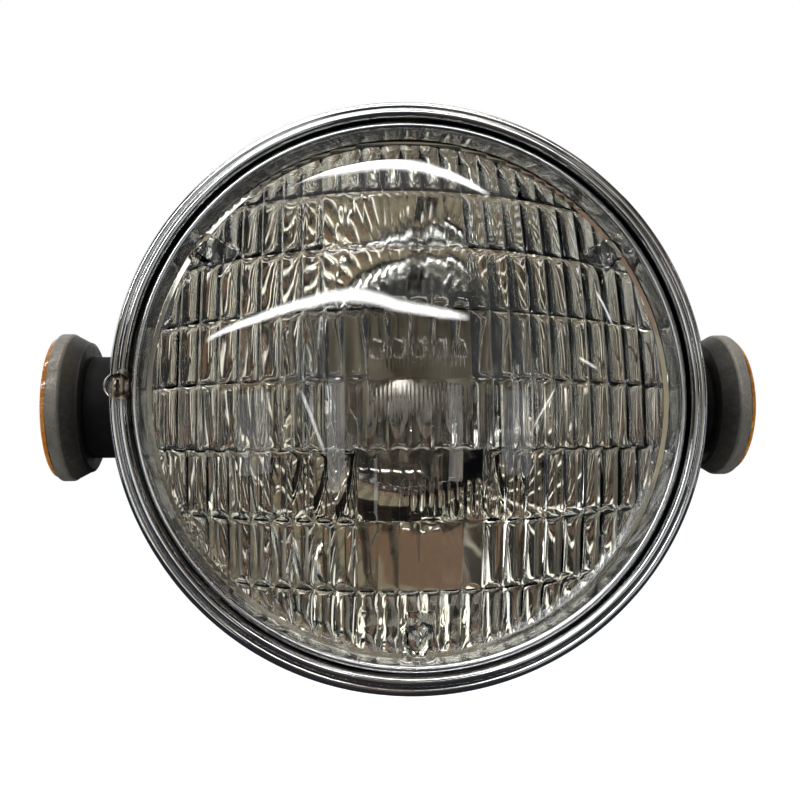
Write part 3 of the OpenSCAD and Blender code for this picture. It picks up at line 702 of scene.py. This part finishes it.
def flute_heights(x, z, row, s):
    """Height of the pressed pattern behind the lens at x, z in a row: h (1 - (2 (x - centre) / w)^2) on upright
    flutes, faint in the two clear blocks, with finer ribs in the middle patch and in two small bands."""
    w = mm(s.flute_w)
    centre = np.where(row <= -2, np.floor(x / w) * w + w / 2, np.round(x / w) * w)
    across = 2 * (x - centre) / w
    upper = (row >= 2) & (row <= 3) & (centre > -31.1) & (centre < 16) & (z > 24)
    lower = (row <= -2) & (row >= -3) & (np.abs(centre) < 19)
    height = np.where(upper | lower, mm(s.faint_h), mm(s.flute_h)) * (1 - across**2)
    small = np.clip(1 - (np.abs(2 * (x / 2.6 - np.round(x / 2.6)))) ** 2, 0, 1)
    band = (z < -33.5) & (z > -41) & (x > -4) & (x < 24)
    height = np.where(band, 0.35 * small, height)
    cells = (z < -73.5) & (z > -79.5) & (np.abs(x) < 19)
    arch = 1 - across**2 - np.clip((z + 76.5) / 3, 0, 1) ** 2
    height = np.where(cells, 0.8 * np.clip(arch, 0, 1), height)
    reach = 10.4 - 2.2 * (x / 16) ** 2
    patch = (np.abs(x) < 16) & (np.abs(z) < reach)
    fine = 0.28 * np.clip(1 - (2 * (x / 1.3 - np.round(x / 1.3))) ** 2, 0, 1)
    inside = np.where((np.abs(z) > 3.4) & (np.abs(z) < reach - 0.7), fine, 0.35)
    return np.where(patch, inside, height)


class HEADLIGHT_OT_lens(Piece, bpy.types.Operator):
    """Lens of the sealed beam: a sphere in front with three aiming pads, pressed rows of flutes behind"""

    bl_idname = "headlight.lens"
    bl_label = "Lens"

    def execute(self, context):
        s = self.sizes
        front, glass, curve = mm(s.rim_front), mm(s.glass_r), mm(s.lens_curve)
        window, flange, flange_front, seal = WINDOW_R, FLANGE_R, 8.85, SEAL_DEPTH
        back = curve - mm(s.lens_t)
        sphere = flange_front + math.sqrt(curve**2 - glass**2) - front
        row_angle = 2 * math.asin(window / back) / s.rows

        x = np.concatenate((np.arange(-83.5, 83.6, 0.5), np.arange(-17, 17, 0.25),
                            window * np.cos(np.linspace(0, np.pi, 90))))
        x = np.unique(np.round(x, 3))
        x = x[np.concatenate(([True], np.diff(x) > 0.06))]
        x[0], x[-1] = -window, window
        half = np.sqrt(np.maximum(window**2 - x**2, 0))

        # Behind: a point at angle phi about the sphere's middle lies at (r cos a) / cos(phi - row's middle), with
        # r the back radius less the flute's height, so each row is a flat-sided band tilted to follow the lens
        t = np.array([-1, -0.96, -0.9, -0.78, -0.55, -0.28, 0, 0.28, 0.55, 0.78, 0.9, 0.96])
        rows = np.arange(-s.rows // 2, s.rows // 2)
        middle = (rows + 0.5) * row_angle
        phi = (middle[:, None] + t[None, :] * row_angle / 2).ravel()
        row = np.repeat(np.where(rows < 0, rows, rows + 1), len(t))
        mid = np.repeat(middle, len(t))
        phi, row, mid = np.append(phi, -phi[0]), np.append(row, row[-1]), np.append(mid, mid[-1])
        a = np.arcsin(x / back)[:, None]
        flat_z = back * np.cos(a) / np.cos(phi - mid) * np.sin(phi)
        within = (phi - mid) / (row_angle / 2)
        edge = np.clip((window - np.hypot(x[:, None], flat_z)) / 2.2, 0, 1)
        fade = np.clip((1 - within**2) / 0.28, 0, 1)
        fade = fade * (2 - fade)
        keep = (np.abs(x[:, None]) < 16.5) & (np.abs(flat_z) < 11)
        small = (flat_z < -31) & (flat_z > -43) & (x[:, None] > -5) & (x[:, None] < 25)
        fade = np.where(keep | small, 1, fade[None, :])
        height = flute_heights(x[:, None], flat_z, row[None, :], s) * fade * edge * (2 - edge)
        q = (back - height) * np.cos(a) / np.cos(phi - mid)
        bx, by, bz = (back - height) * np.sin(a), sphere - q * np.cos(phi), q * np.sin(phi)
        rim_y = sphere - math.sqrt(back**2 - window**2)
        out = np.abs(flat_z) >= half[:, None] - 0.02
        bx = np.where(out, x[:, None], bx)
        bz = np.where(out, np.sign(flat_z) * half[:, None], bz)
        by = np.where(out, rim_y, by)
        behind = np.stack((bx, by, bz), -1).reshape(-1, 3), grid_faces(len(x), len(phi))

        # In front: y = sphere's middle - sqrt(R^2 - x^2 - z^2), or the pads' flat top where that stands further out
        z = np.concatenate((np.arange(-glass, glass, 2.4), np.arange(40, 52, 0.45), np.arange(-86, -64, 0.45)))
        z = np.unique(np.round(np.append(z, [-glass, glass]), 3))
        fx = x * glass / window
        fh = np.sqrt(np.maximum(glass**2 - fx**2, 0))
        fz = np.clip(z[None, :], -fh[:, None], fh[:, None])
        fxx = fx[:, None] + 0 * fz
        ball = sphere - np.sqrt(curve**2 - fxx**2 - fz**2)
        top = 1.6 - front
        fy = ball.copy()
        for angle in (34.5, 145.5, 270):
            c, d = math.cos(math.radians(angle)), math.sin(math.radians(angle))
            along = fxx * c + fz * d
            across = -fxx * d + fz * c
            away = np.hypot(across, along - np.clip(along, 70, 81))
            share = np.clip((4.7 - away) / 0.8, 0, 1)
            fy = np.minimum(fy, ball + (np.minimum(top, ball) - ball) * share * share * (3 - 2 * share))
        fy = np.where(np.hypot(fxx, fz) > glass - 0.02, flange_front - front, fy)
        ahead = np.stack((fxx, fy, fz), -1).reshape(-1, 3), grid_faces(len(x), len(z))

        # Flange: rings of the same angles as the columns' ends, from the front's edge round to the back's
        ends = np.concatenate((x, x[::-1][1:-1]))
        side = np.concatenate((np.ones(len(x)), -np.ones(len(x) - 2)))
        cx, cz = ends / window, side * np.sqrt(np.maximum(1 - (ends / window) ** 2, 0))
        path = [(glass, flange_front), (flange - 0.4, flange_front), (flange, flange_front + 0.4),
                (flange, seal - 0.01), (window, seal - 0.01), (window, rim_y + front)]
        rings = np.array([np.column_stack((r * cx, np.full(len(cx), d - front), r * cz)) for r, d in path])
        band = rings.reshape(-1, 3), grid_faces(len(path), len(ends), False, True)
        make("beam_lens", joined(behind, ahead, band), "beam", "clear_glass", ["lens"], 40)
        return {"FINISHED"}


class HEADLIGHT_OT_bowl(Piece, bpy.types.Operator):
    """Bowl of the sealed beam with its shield and filaments"""

    bl_idname = "headlight.bowl"
    bl_label = "Bowl"

    def execute(self, context):
        s = self.sizes
        front, f, t = mm(s.rim_front), mm(s.focal), mm(s.bowl_t)
        apex, shoulder, drop = SEAL_DEPTH + WINDOW_R**2 / (4 * f), 41.0, 2.5
        r = np.linspace(0, WINDOW_R, 90)
        share = np.clip((shoulder + 1.6 - r) / 2.2, 0, 1)
        step = drop * (0.5 - 0.5 * np.cos(np.pi * share))
        inner = np.column_stack((r, apex - r * r / (4 * f) + step))
        outer = beside(inner, t)
        if outer[len(outer) // 2, 1] < inner[len(inner) // 2, 1]:
            outer = beside(inner, -t)
        outer[:, 0] = np.maximum(outer[:, 0], 0)
        rim_points = [[WINDOW_R, SEAL_DEPTH], [FLANGE_R, SEAL_DEPTH], [FLANGE_R, 19.0], [85.4, 19.0]]
        outline = np.vstack((inner, rim_points, outer[outer[:, 1] > 19.5][::-1]))
        base = apex + 7.5
        neck = rounded([[0, apex + 3.5], [17, apex + 1.0], [17, base], [0, base]], 0.8)
        at = (0, -front, 0)
        parts = joined(turned(outline, origin=at, steps=240), turned(neck, origin=at, steps=96))
        make("beam_bowl", parts, "beam", "silvered_glass", ["bowl"])

        depth = apex - f
        cup = smooth_line([[0, depth - 9], [4, depth - 9], [8.2, depth - 8.1], [11, depth - 5]], 24)
        make("beam_shield", turned(sheet(cup, 0.4), origin=at, steps=96), "beam", "nickel", ["filament_shield"])
        for name, up, node in (("coil_main", 0, "filament_main"), ("coil_dip", 4.5, "filament_dip")):
            turns, steps = 12, 12 * 20
            u = np.linspace(0, 1, steps)
            swing = 2 * np.pi * turns * u
            ease = np.minimum(1, np.minimum(u, 1 - u) * 24)
            coil = np.column_stack((-3.2 + 6.4 * u, depth - front + 0.48 * ease * np.cos(swing),
                                    up + 0.48 * ease * np.sin(swing)))
            make(name, swept(coil, 0.11, 8), "beam", "tungsten", [node])
        return {"FINISHED"}


class HEADLIGHT_OT_screw(Piece, bpy.types.Operator):
    """Aiming screw: domed head with a tapered cross recess on a plain shank"""

    bl_idname = "headlight.screw"
    bl_label = "Aiming screw"

    def execute(self, context):
        s = self.sizes
        head, floor, shank = mm(s.head_r), 4.6, 1.8
        rings = np.concatenate((np.linspace(0, head, 44), [head, head, shank, shank, 0]))
        t = np.linspace(0, 2 * np.pi, 160, endpoint=False)
        r = rings[:, None]
        x, z = r * np.cos(t), r * np.sin(t)
        dome = 1.9 + 1.5 * (1 - np.sqrt(np.clip(1 - (np.minimum(r, head) / head) ** 2 * 0.94, 0, 1))) + 0 * t
        arm = np.maximum(np.clip((0.52 - np.abs(z)) / 0.22, 0, 1) * np.clip((2.15 - np.abs(x)) / 0.7, 0, 1),
                         np.clip((0.52 - np.abs(x)) / 0.22, 0, 1) * np.clip((2.15 - np.abs(z)) / 0.7, 0, 1))
        y = dome + 1.25 * arm
        y[44:] = np.array([3.6, floor, floor, floor + 24, floor + 24])[:, None]
        points = np.stack((x - mm(s.screw_at), y - mm(s.rim_front), z), -1).reshape(-1, 3)
        make("aiming_screw", (points, grid_faces(len(rings), len(t), False, True)), "aimer", "dull_nickel",
             ["adjuster_screw"], 50)
        return {"FINISHED"}


class HEADLIGHT_OT_shell(Piece, bpy.types.Operator):
    """Shell behind the beam, with a pressed boss on each side, and its wiring grommet"""

    bl_idname = "headlight.shell"
    bl_label = "Shell"

    def execute(self, context):
        s = self.sizes
        front, shell, t = mm(s.rim_front), mm(s.shell_r), 1.2
        back = mm(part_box("shell")[1].y) + front
        u = np.sin(np.linspace(0, np.pi / 2, 60))
        dome = 36 + (shell - t - 36) * (1 - u**2.6) ** (1 / 2.6)
        line = np.vstack((
            [[shell, SKIRT_DEPTH], [shell, 30.6]],
            smooth_line([[shell, 31], [shell - 0.3, 32.5], [shell - t, 35]], 8),
            np.column_stack((dome, 58 + (back - 58) * u)), [[30, back], [19, back]],
        ))
        wall = sheet(line, SHELL_WALL)
        if wall[len(wall) - 2, 0] > shell:
            wall = sheet(line, -SHELL_WALL)
        parts = [turned(wall, origin=(0, -front, 0), steps=256)]
        flat, boss = mm(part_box("shell")[1].x), mm(s.spacer_r) + 1.2
        root = math.sqrt((shell - 1.5 * t) ** 2 - boss**2)
        outline = rounded([[boss - t, root], [boss, root], [boss, flat], [4.05, flat], [4.05, flat - t],
                           [boss - t, flat - t]], 0.6)
        parts += [turned(outline, "X", steps=128), turned(outline, "X", steps=128, flip=True)]
        make("shell_body", joined(*parts), "housing", "black_paint", ["shell"])
        lips = rounded([[15, back - t - 3], [23, back - t - 3], [23, back - t], [19, back - t], [19, back],
                        [23, back], [21, back + 3], [15, back + 3]], 0.9)
        make("wire_grommet", turned(lips, origin=(0, -front, 0), steps=128), "housing", "black_rubber",
             ["grommet"])
        return {"FINISHED"}


class HEADLIGHT_OT_sides(Piece, bpy.types.Operator):
    """Side pieces: black spacers, cast reflector bodies and amber lenses"""

    bl_idname = "headlight.sides"
    bl_label = "Side reflectors"

    def execute(self, context):
        s = self.sizes
        flat, start = (mm(corner.x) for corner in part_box("spacer_right"))
        spacer, r, cone, end = mm(s.spacer_r), mm(s.refl_r), mm(s.cone_r), mm(s.refl_end)
        spacer_line = rounded([[4.05, flat], [spacer - 0.8, flat], [spacer, flat + 0.8], [spacer, start],
                               [4.05, start]], 0.35)
        body = rounded([
            [4, start], [cone - 1.2, start], [cone, start + 0.6], [cone, start + 1.2], [r - 0.5, end - 4.4],
            [r, end - 3.8], [r, end - 0.3], [r - 0.3, end], [r - 1.2, end], [r - 1.2, end - 2.2],
            [r - 2.8, end - 2.2], [cone - 2.4, start + 2.8], [7, start + 2.8], [7, end - 3.2], [4, end - 3.2],
        ], 0.3)
        edge, crest = r - 1.4, mm(s.amber_end)
        rise = crest - end - mm(s.amber_side)
        curve = (edge**2 + rise**2) / (2 * rise)
        a = np.linspace(math.asin((edge - 0.4) / curve), 0, 40)
        dome = np.column_stack((curve * np.sin(a), crest - curve + curve * np.cos(a)))
        shoulder = dome[0, 1]
        amber = np.vstack(([[0, end - 2.2], [edge, end - 2.2], [edge, end + 0.2], [edge, shoulder - 0.5],
                            [edge - 0.1, shoulder - 0.15]], dome))
        for side, flip in (("left", True), ("right", False)):
            make("spacer_" + side + "_rubber", turned(spacer_line, "X", steps=160, flip=flip), "housing",
                 "black_rubber", ["spacer_" + side])
            make("reflector_cup_" + side, turned(body, "X", steps=200, flip=flip), "housing", "cast_alloy",
                 ["reflector_body_" + side])
            make("amber_" + side, turned(amber, "X", steps=200, flip=flip), "housing", "amber_plastic",
                 ["reflector_lens_" + side])
        return {"FINISHED"}


class HEADLIGHT_OT_finishes(Piece, bpy.types.Operator):
    """Gives each CAD node that still shows the finish of its material slot"""

    bl_idname = "headlight.finishes"
    bl_label = "Finishes"

    def execute(self, context):
        slots = {part["node"]: part["material_slot"] for part in frame["record"]["subparts"]}
        for name, node in frame["nodes"].items():
            if not node.hide_render:
                node.data.materials.clear()
                node.data.materials.append(finish(slots[name]))
        return {"FINISHED"}


class HEADLIGHT_OT_stage(Piece, bpy.types.Operator):
    """Pale floor, white surroundings, soft lamps, and dark flags and strips that only reflections see"""

    bl_idname = "headlight.stage"
    bl_label = "Stage"

    def cloth(self):
        """Dim patchy glow of a room: soft noise stretched upright, from dark to warm grey near the -Y axis and
        all dark to the sides."""
        f = Glow("room_cloth", (0, 0, 0))
        patches = f.ramp(f.noise(2.6, 3, 0.5, (1.6, 1.6, 0.7)), 0.40, 0.66)
        f.put("Color", f.mix(patches, (0.045, 0.042, 0.038), (0.34, 0.32, 0.28)))
        return f.put("Strength", f.ramp(f.axes()[1], -1.6, -2.15, 0.1, 1.0))

    def card(self, name, corners, look, faces=None):
        """Card seen only by reflections and through glass."""
        mesh = bpy.data.meshes.new(name)
        mesh.from_pydata(corners, [], faces or [tuple(range(len(corners)))])
        mesh.materials.append(look.material)
        card = linked(name, mesh)
        card.visible_camera = card.visible_diffuse = card.visible_shadow = False
        return card

    def dome(self, name, r, around, ahead, look):
        """Part of a sphere of radius r about the lamp, between two turns about Y and two angles from the XZ plane
        in degrees: r (cos a cos b, sin b, sin a cos b)."""
        n, m = 61, 25
        a = np.radians(np.linspace(*around, n))[:, None]
        b = np.radians(np.linspace(*ahead, m))[None, :]
        points = r * np.stack((np.cos(a) * np.cos(b), np.sin(b) + 0 * a, np.sin(a) * np.cos(b)), -1)
        return self.card(name, points.reshape(-1, 3).tolist(), look, grid_faces(n, m).tolist())

    def ribbon(self, name, strength, line):
        """Curved strip 1.5 m from the lens, from directions and half heights in degrees, smoothed by smooth_line.
        Its glow falls off to both edges as (1 - v^2)^2, and to both ends."""
        n, m = 80, 9
        p = smooth_line(np.asarray(line, float), n)
        way = p[:, :3] / np.linalg.norm(p[:, :3], axis=1)[:, None]
        along = np.gradient(way, axis=0)
        across = np.cross(way, along)
        across /= np.linalg.norm(across, axis=1)[:, None]
        half = np.tan(np.radians(p[:, 3] * 1.3))[:, None, None]
        v = np.linspace(-1, 1, m)[None, :, None]
        points = (way[:, None] + across[:, None] * half * v) * 1.5 + np.array([0, -0.06, 0])
        end = np.clip(np.minimum(np.arange(n), n - 1 - np.arange(n)) / 14, 0, 1)[:, None]
        fade = (end * (1 - v[..., 0] ** 2) ** 2).ravel()
        look = Glow(name, (1, 1, 1), strength)
        look.put("Color", look.node("Attribute", (), "Color", attribute_name="fade"))
        card = self.card(name, points.reshape(-1, 3).tolist(), look, grid_faces(n, m).tolist())
        colours = card.data.color_attributes.new("fade", "FLOAT_COLOR", "POINT")
        colours.data.foreach_set("color", np.column_stack((fade, fade, fade, np.ones(len(fade)))).ravel())
        return card

    def panel(self, name, look, x, z):
        """Flat card 0.8 m in front, between two sideways and two upward parts of a unit direction."""
        corners = [0.8 * Vector((i, -math.sqrt(1 - i**2 - k**2), k))
                   for i, k in ((x[0], z[0]), (x[1], z[0]), (x[1], z[1]), (x[0], z[1]))]
        return self.card(name, corners, look)

    def lamp(self, name, place, size, watts, tint=(1, 1, 1)):
        data = bpy.data.lights.new(name, "AREA")
        data.shape, data.size, data.energy, data.color = "DISK", size, watts, tint
        light = linked(name, data)
        light.location = place
        light.rotation_euler = (-Vector(place)).to_track_quat("-Z", "Y").to_euler()
        light.visible_glossy = light.visible_transmission = False
        return light

    def surroundings(self):
        """Pure white for the camera, for reflections and through glass, and dimmer as a lamp."""
        world = bpy.data.worlds.new("white_surroundings")
        bpy.context.scene.world = world
        world.use_nodes = True
        n = Nodes(world.node_tree)
        rays = n.rays()
        seen = n.math("MAXIMUM", n.math("MAXIMUM", rays["Is Camera Ray"], rays["Is Glossy Ray"]),
                      rays["Is Transmission Ray"])
        shown = n.tree.nodes["Background"]
        n.feed(shown.inputs["Color"], (1, 1, 1))
        n.feed(shown.inputs["Strength"], 1)
        fill = n.node("Background", {"Color": (0.95, 0.97, 1.0), "Strength": 0.30})
        mixed = n.node("MixShader", {0: seen, 1: fill, 2: shown.outputs[0]})
        n.feed(n.tree.nodes["World Output"].inputs[0], mixed)

    def floor(self):
        """Pale floor that keeps the shadow, lifted a little for the camera so it meets the white behind."""
        n = 60
        u = np.linspace(-3, 3, n)
        x, y = np.meshgrid(u, u + 0.5, indexing="ij")
        mesh = bpy.data.meshes.new("floor")
        mesh.from_pydata(np.stack((x, y, np.full_like(x, -0.30)), -1).reshape(-1, 3).tolist(), [],
                         grid_faces(n, n).tolist())
        f = Finish("pale_floor", Base_Color=(0.9, 0.9, 0.9), Roughness=0.8)
        glow = f.node("Emission", {"Strength": f.product(f.rays()["Is Camera Ray"], 0.75)})
        mesh.materials.append(f.show(f.node("AddShader", {0: f.surface.outputs[0], 1: glow})))
        linked("floor", mesh)

    def execute(self, context):
        context.scene.view_settings.view_transform = "Standard"
        self.surroundings()
        self.floor()
        self.lamp("key_lamp", (-1.1, -0.9, 1.5), 0.5, 20, (1, 0.98, 0.95))
        self.lamp("fill_lamp", (1.4, -1.0, 0.5), 1.2, 5, (0.95, 0.97, 1))
        self.lamp("top_lamp", (0.1, 0.3, 1.7), 0.8, 16)

        # Room that only reflections and the glass see: a dim dome in front, a dark table under the lamp, a dark
        # wall behind it that is open above, and a pale ceiling
        self.dome("room_front", 2.4, (0, 360), (-90, 0), self.cloth())
        shade_cloth = Glow("dark_cloth", (0.028, 0.031, 0.037))
        self.dome("room_behind", 2.1, (165, 405), (0, 90), shade_cloth)
        a = np.linspace(0, 2 * np.pi, 97)[:-1]
        table = np.column_stack((2.3 * np.cos(a), 2.3 * np.sin(a), np.full(len(a), -0.288)))
        self.card("room_table", table.tolist(), shade_cloth)
        ceiling = [(x, y, 1.6) for x, y in ((-0.9, -0.9), (0.9, -0.9), (0.9, 0.9), (-0.9, 0.9))]
        self.card("room_ceiling", ceiling, Glow("ceiling_glow", (0.62, 0.60, 0.54)))

        # Strips that the front of the lens mirrors as two long arcs and a few short streaks, and two tall ones
        # for the rim's sides. Each point is a direction from the lens and half the strip's height in degrees
        for name, strength, line in (
            ("strip_upper", 34, [
                (-0.60, -0.30, 0.745, 0.7), (-0.547, -0.277, 0.790, 0.9), (-0.434, -0.264, 0.861, 1.3),
                (-0.298, -0.265, 0.917, 1.9), (-0.122, -0.282, 0.952, 2.3), (0.037, -0.283, 0.958, 2.1),
                (0.195, -0.305, 0.932, 1.7), (0.328, -0.340, 0.881, 1.0), (0.38, -0.35, 0.85, 0.8),
            ]),
            ("strip_lower", 34, [
                (-0.76, -0.55, 0.33, 0.6), (-0.732, -0.580, 0.358, 0.7), (-0.603, -0.676, 0.423, 1.1),
                (-0.430, -0.758, 0.489, 1.5), (-0.268, -0.804, 0.531, 1.8), (-0.164, -0.828, 0.536, 2.1),
                (-0.07, -0.85, 0.52, 1.9), (0.023, -0.870, 0.492, 1.7), (0.193, -0.867, 0.460, 1.6),
                (0.291, -0.849, 0.441, 1.2), (0.33, -0.84, 0.43, 0.9),
            ]),
            ("streak_right", 14, [
                (0.775, -0.385, 0.501, 0.4), (0.81, -0.39, 0.44, 0.4), (0.840, -0.394, 0.374, 0.4),
            ]),
            ("streak_dash", 14, [
                (0.754, -0.604, 0.256, 0.4), (0.787, -0.57, 0.23, 0.4), (0.819, -0.536, 0.206, 0.4),
            ]),
            ("streak_left", 12, [
                (-0.438, -0.890, 0.124, 0.5), (-0.385, -0.92, -0.03, 0.5), (-0.330, -0.925, -0.187, 0.5),
            ]),
            ("streak_spark", 12, [
                (0.681, -0.721, 0.130, 0.3), (0.64, -0.77, 0.035, 0.3), (0.592, -0.804, -0.059, 0.3),
            ]),
            ("edge_left", 4.5, [
                (-0.93, -0.10, -0.75, 1.2), (-1, -0.12, -0.2, 1.4), (-1, -0.12, 0.2, 1.4), (-0.9, -0.1, 0.8, 1.2),
            ]),
            ("edge_right", 5, [
                (0.9, -0.10, -0.8, 1.2), (1, -0.12, -0.2, 1.4), (1, -0.12, 0.2, 1.4), (0.9, -0.1, 0.8, 1.2),
            ]),
        ):
            self.ribbon(name, strength, line)

        # What the bowl shows through the flutes: windows, a beige wall above and warm dark shapes around the camera
        for name, c, strength, x, z in (
            ("window_left", (1, 0.99, 0.96), 2.4, (-0.31, -0.235), (-0.34, 0.16)),
            ("window_right", (1, 0.98, 0.95), 1.8, (0.215, 0.275), (-0.30, 0.12)),
            ("window_far_left", (0.86, 0.93, 1), 1.4, (-0.66, -0.54), (-0.24, 0.10)),
            ("window_far_right", (0.90, 0.95, 1), 1.3, (0.44, 0.56), (-0.26, 0.10)),
            ("beige_wall", (0.37, 0.33, 0.25), 1.0, (-0.27, 0.05), (0.095, 0.22)),
            ("warm_wall", (0.27, 0.175, 0.125), 1.0, (-0.27, 0.05), (-0.01, 0.095)),
            ("beige_wall_right", (0.24, 0.215, 0.17), 1.0, (0.05, 0.16), (0.02, 0.42)),
            ("warm_shape", (0.24, 0.155, 0.11), 1.0, (-0.09, 0.08), (-0.36, -0.155)),
            ("dark_shape", (0.035, 0.033, 0.030), 1.0, (-0.13, 0.10), (-0.155, -0.01)),
            ("dark_shape_left", (0.03, 0.03, 0.03), 1.0, (-0.235, -0.15), (-0.32, -0.04)),
            ("dark_shape_right", (0.03, 0.03, 0.028), 1.0, (0.13, 0.215), (-0.30, -0.02)),
        ):
            self.panel(name, Glow(name, c, strength), x, z)
        return {"FINISHED"}


class HEADLIGHT_PT_panel(bpy.types.Panel):
    """Sizes, colours and the operators of the headlight"""

    bl_idname = "HEADLIGHT_PT_panel"
    bl_label = "Headlight"
    bl_space_type = "VIEW_3D"
    bl_region_type = "UI"
    bl_category = "Headlight"

    def draw(self, context):
        for group in (context.scene.headlight_sizes, context.scene.headlight_colours):
            box = self.layout.box()
            for name in group.__annotations__:
                box.prop(group, name)
        for operator in OPERATORS:
            self.layout.operator(operator.bl_idname)


OPERATORS = (
    HEADLIGHT_OT_camera, HEADLIGHT_OT_rim, HEADLIGHT_OT_ring, HEADLIGHT_OT_lens, HEADLIGHT_OT_bowl,
    HEADLIGHT_OT_screw, HEADLIGHT_OT_shell, HEADLIGHT_OT_sides, HEADLIGHT_OT_finishes, HEADLIGHT_OT_stage,
)
CLASSES = (HeadlightSizes, HeadlightColours, *OPERATORS, HEADLIGHT_PT_panel)


def register():
    for c in CLASSES:
        bpy.utils.register_class(c)
    bpy.types.Scene.headlight_sizes = PointerProperty(type=HeadlightSizes)
    bpy.types.Scene.headlight_colours = PointerProperty(type=HeadlightColours)


def unregister():
    del bpy.types.Scene.headlight_sizes
    del bpy.types.Scene.headlight_colours
    for c in reversed(CLASSES):
        bpy.utils.unregister_class(c)


def main():
    register()
    ops = bpy.ops.headlight
    ops.camera()
    ops.rim()
    ops.ring()
    ops.lens()
    ops.bowl()
    ops.screw()
    ops.shell()
    ops.sides()
    ops.finishes()
    ops.stage()


if __name__ == "__main__":
    main()
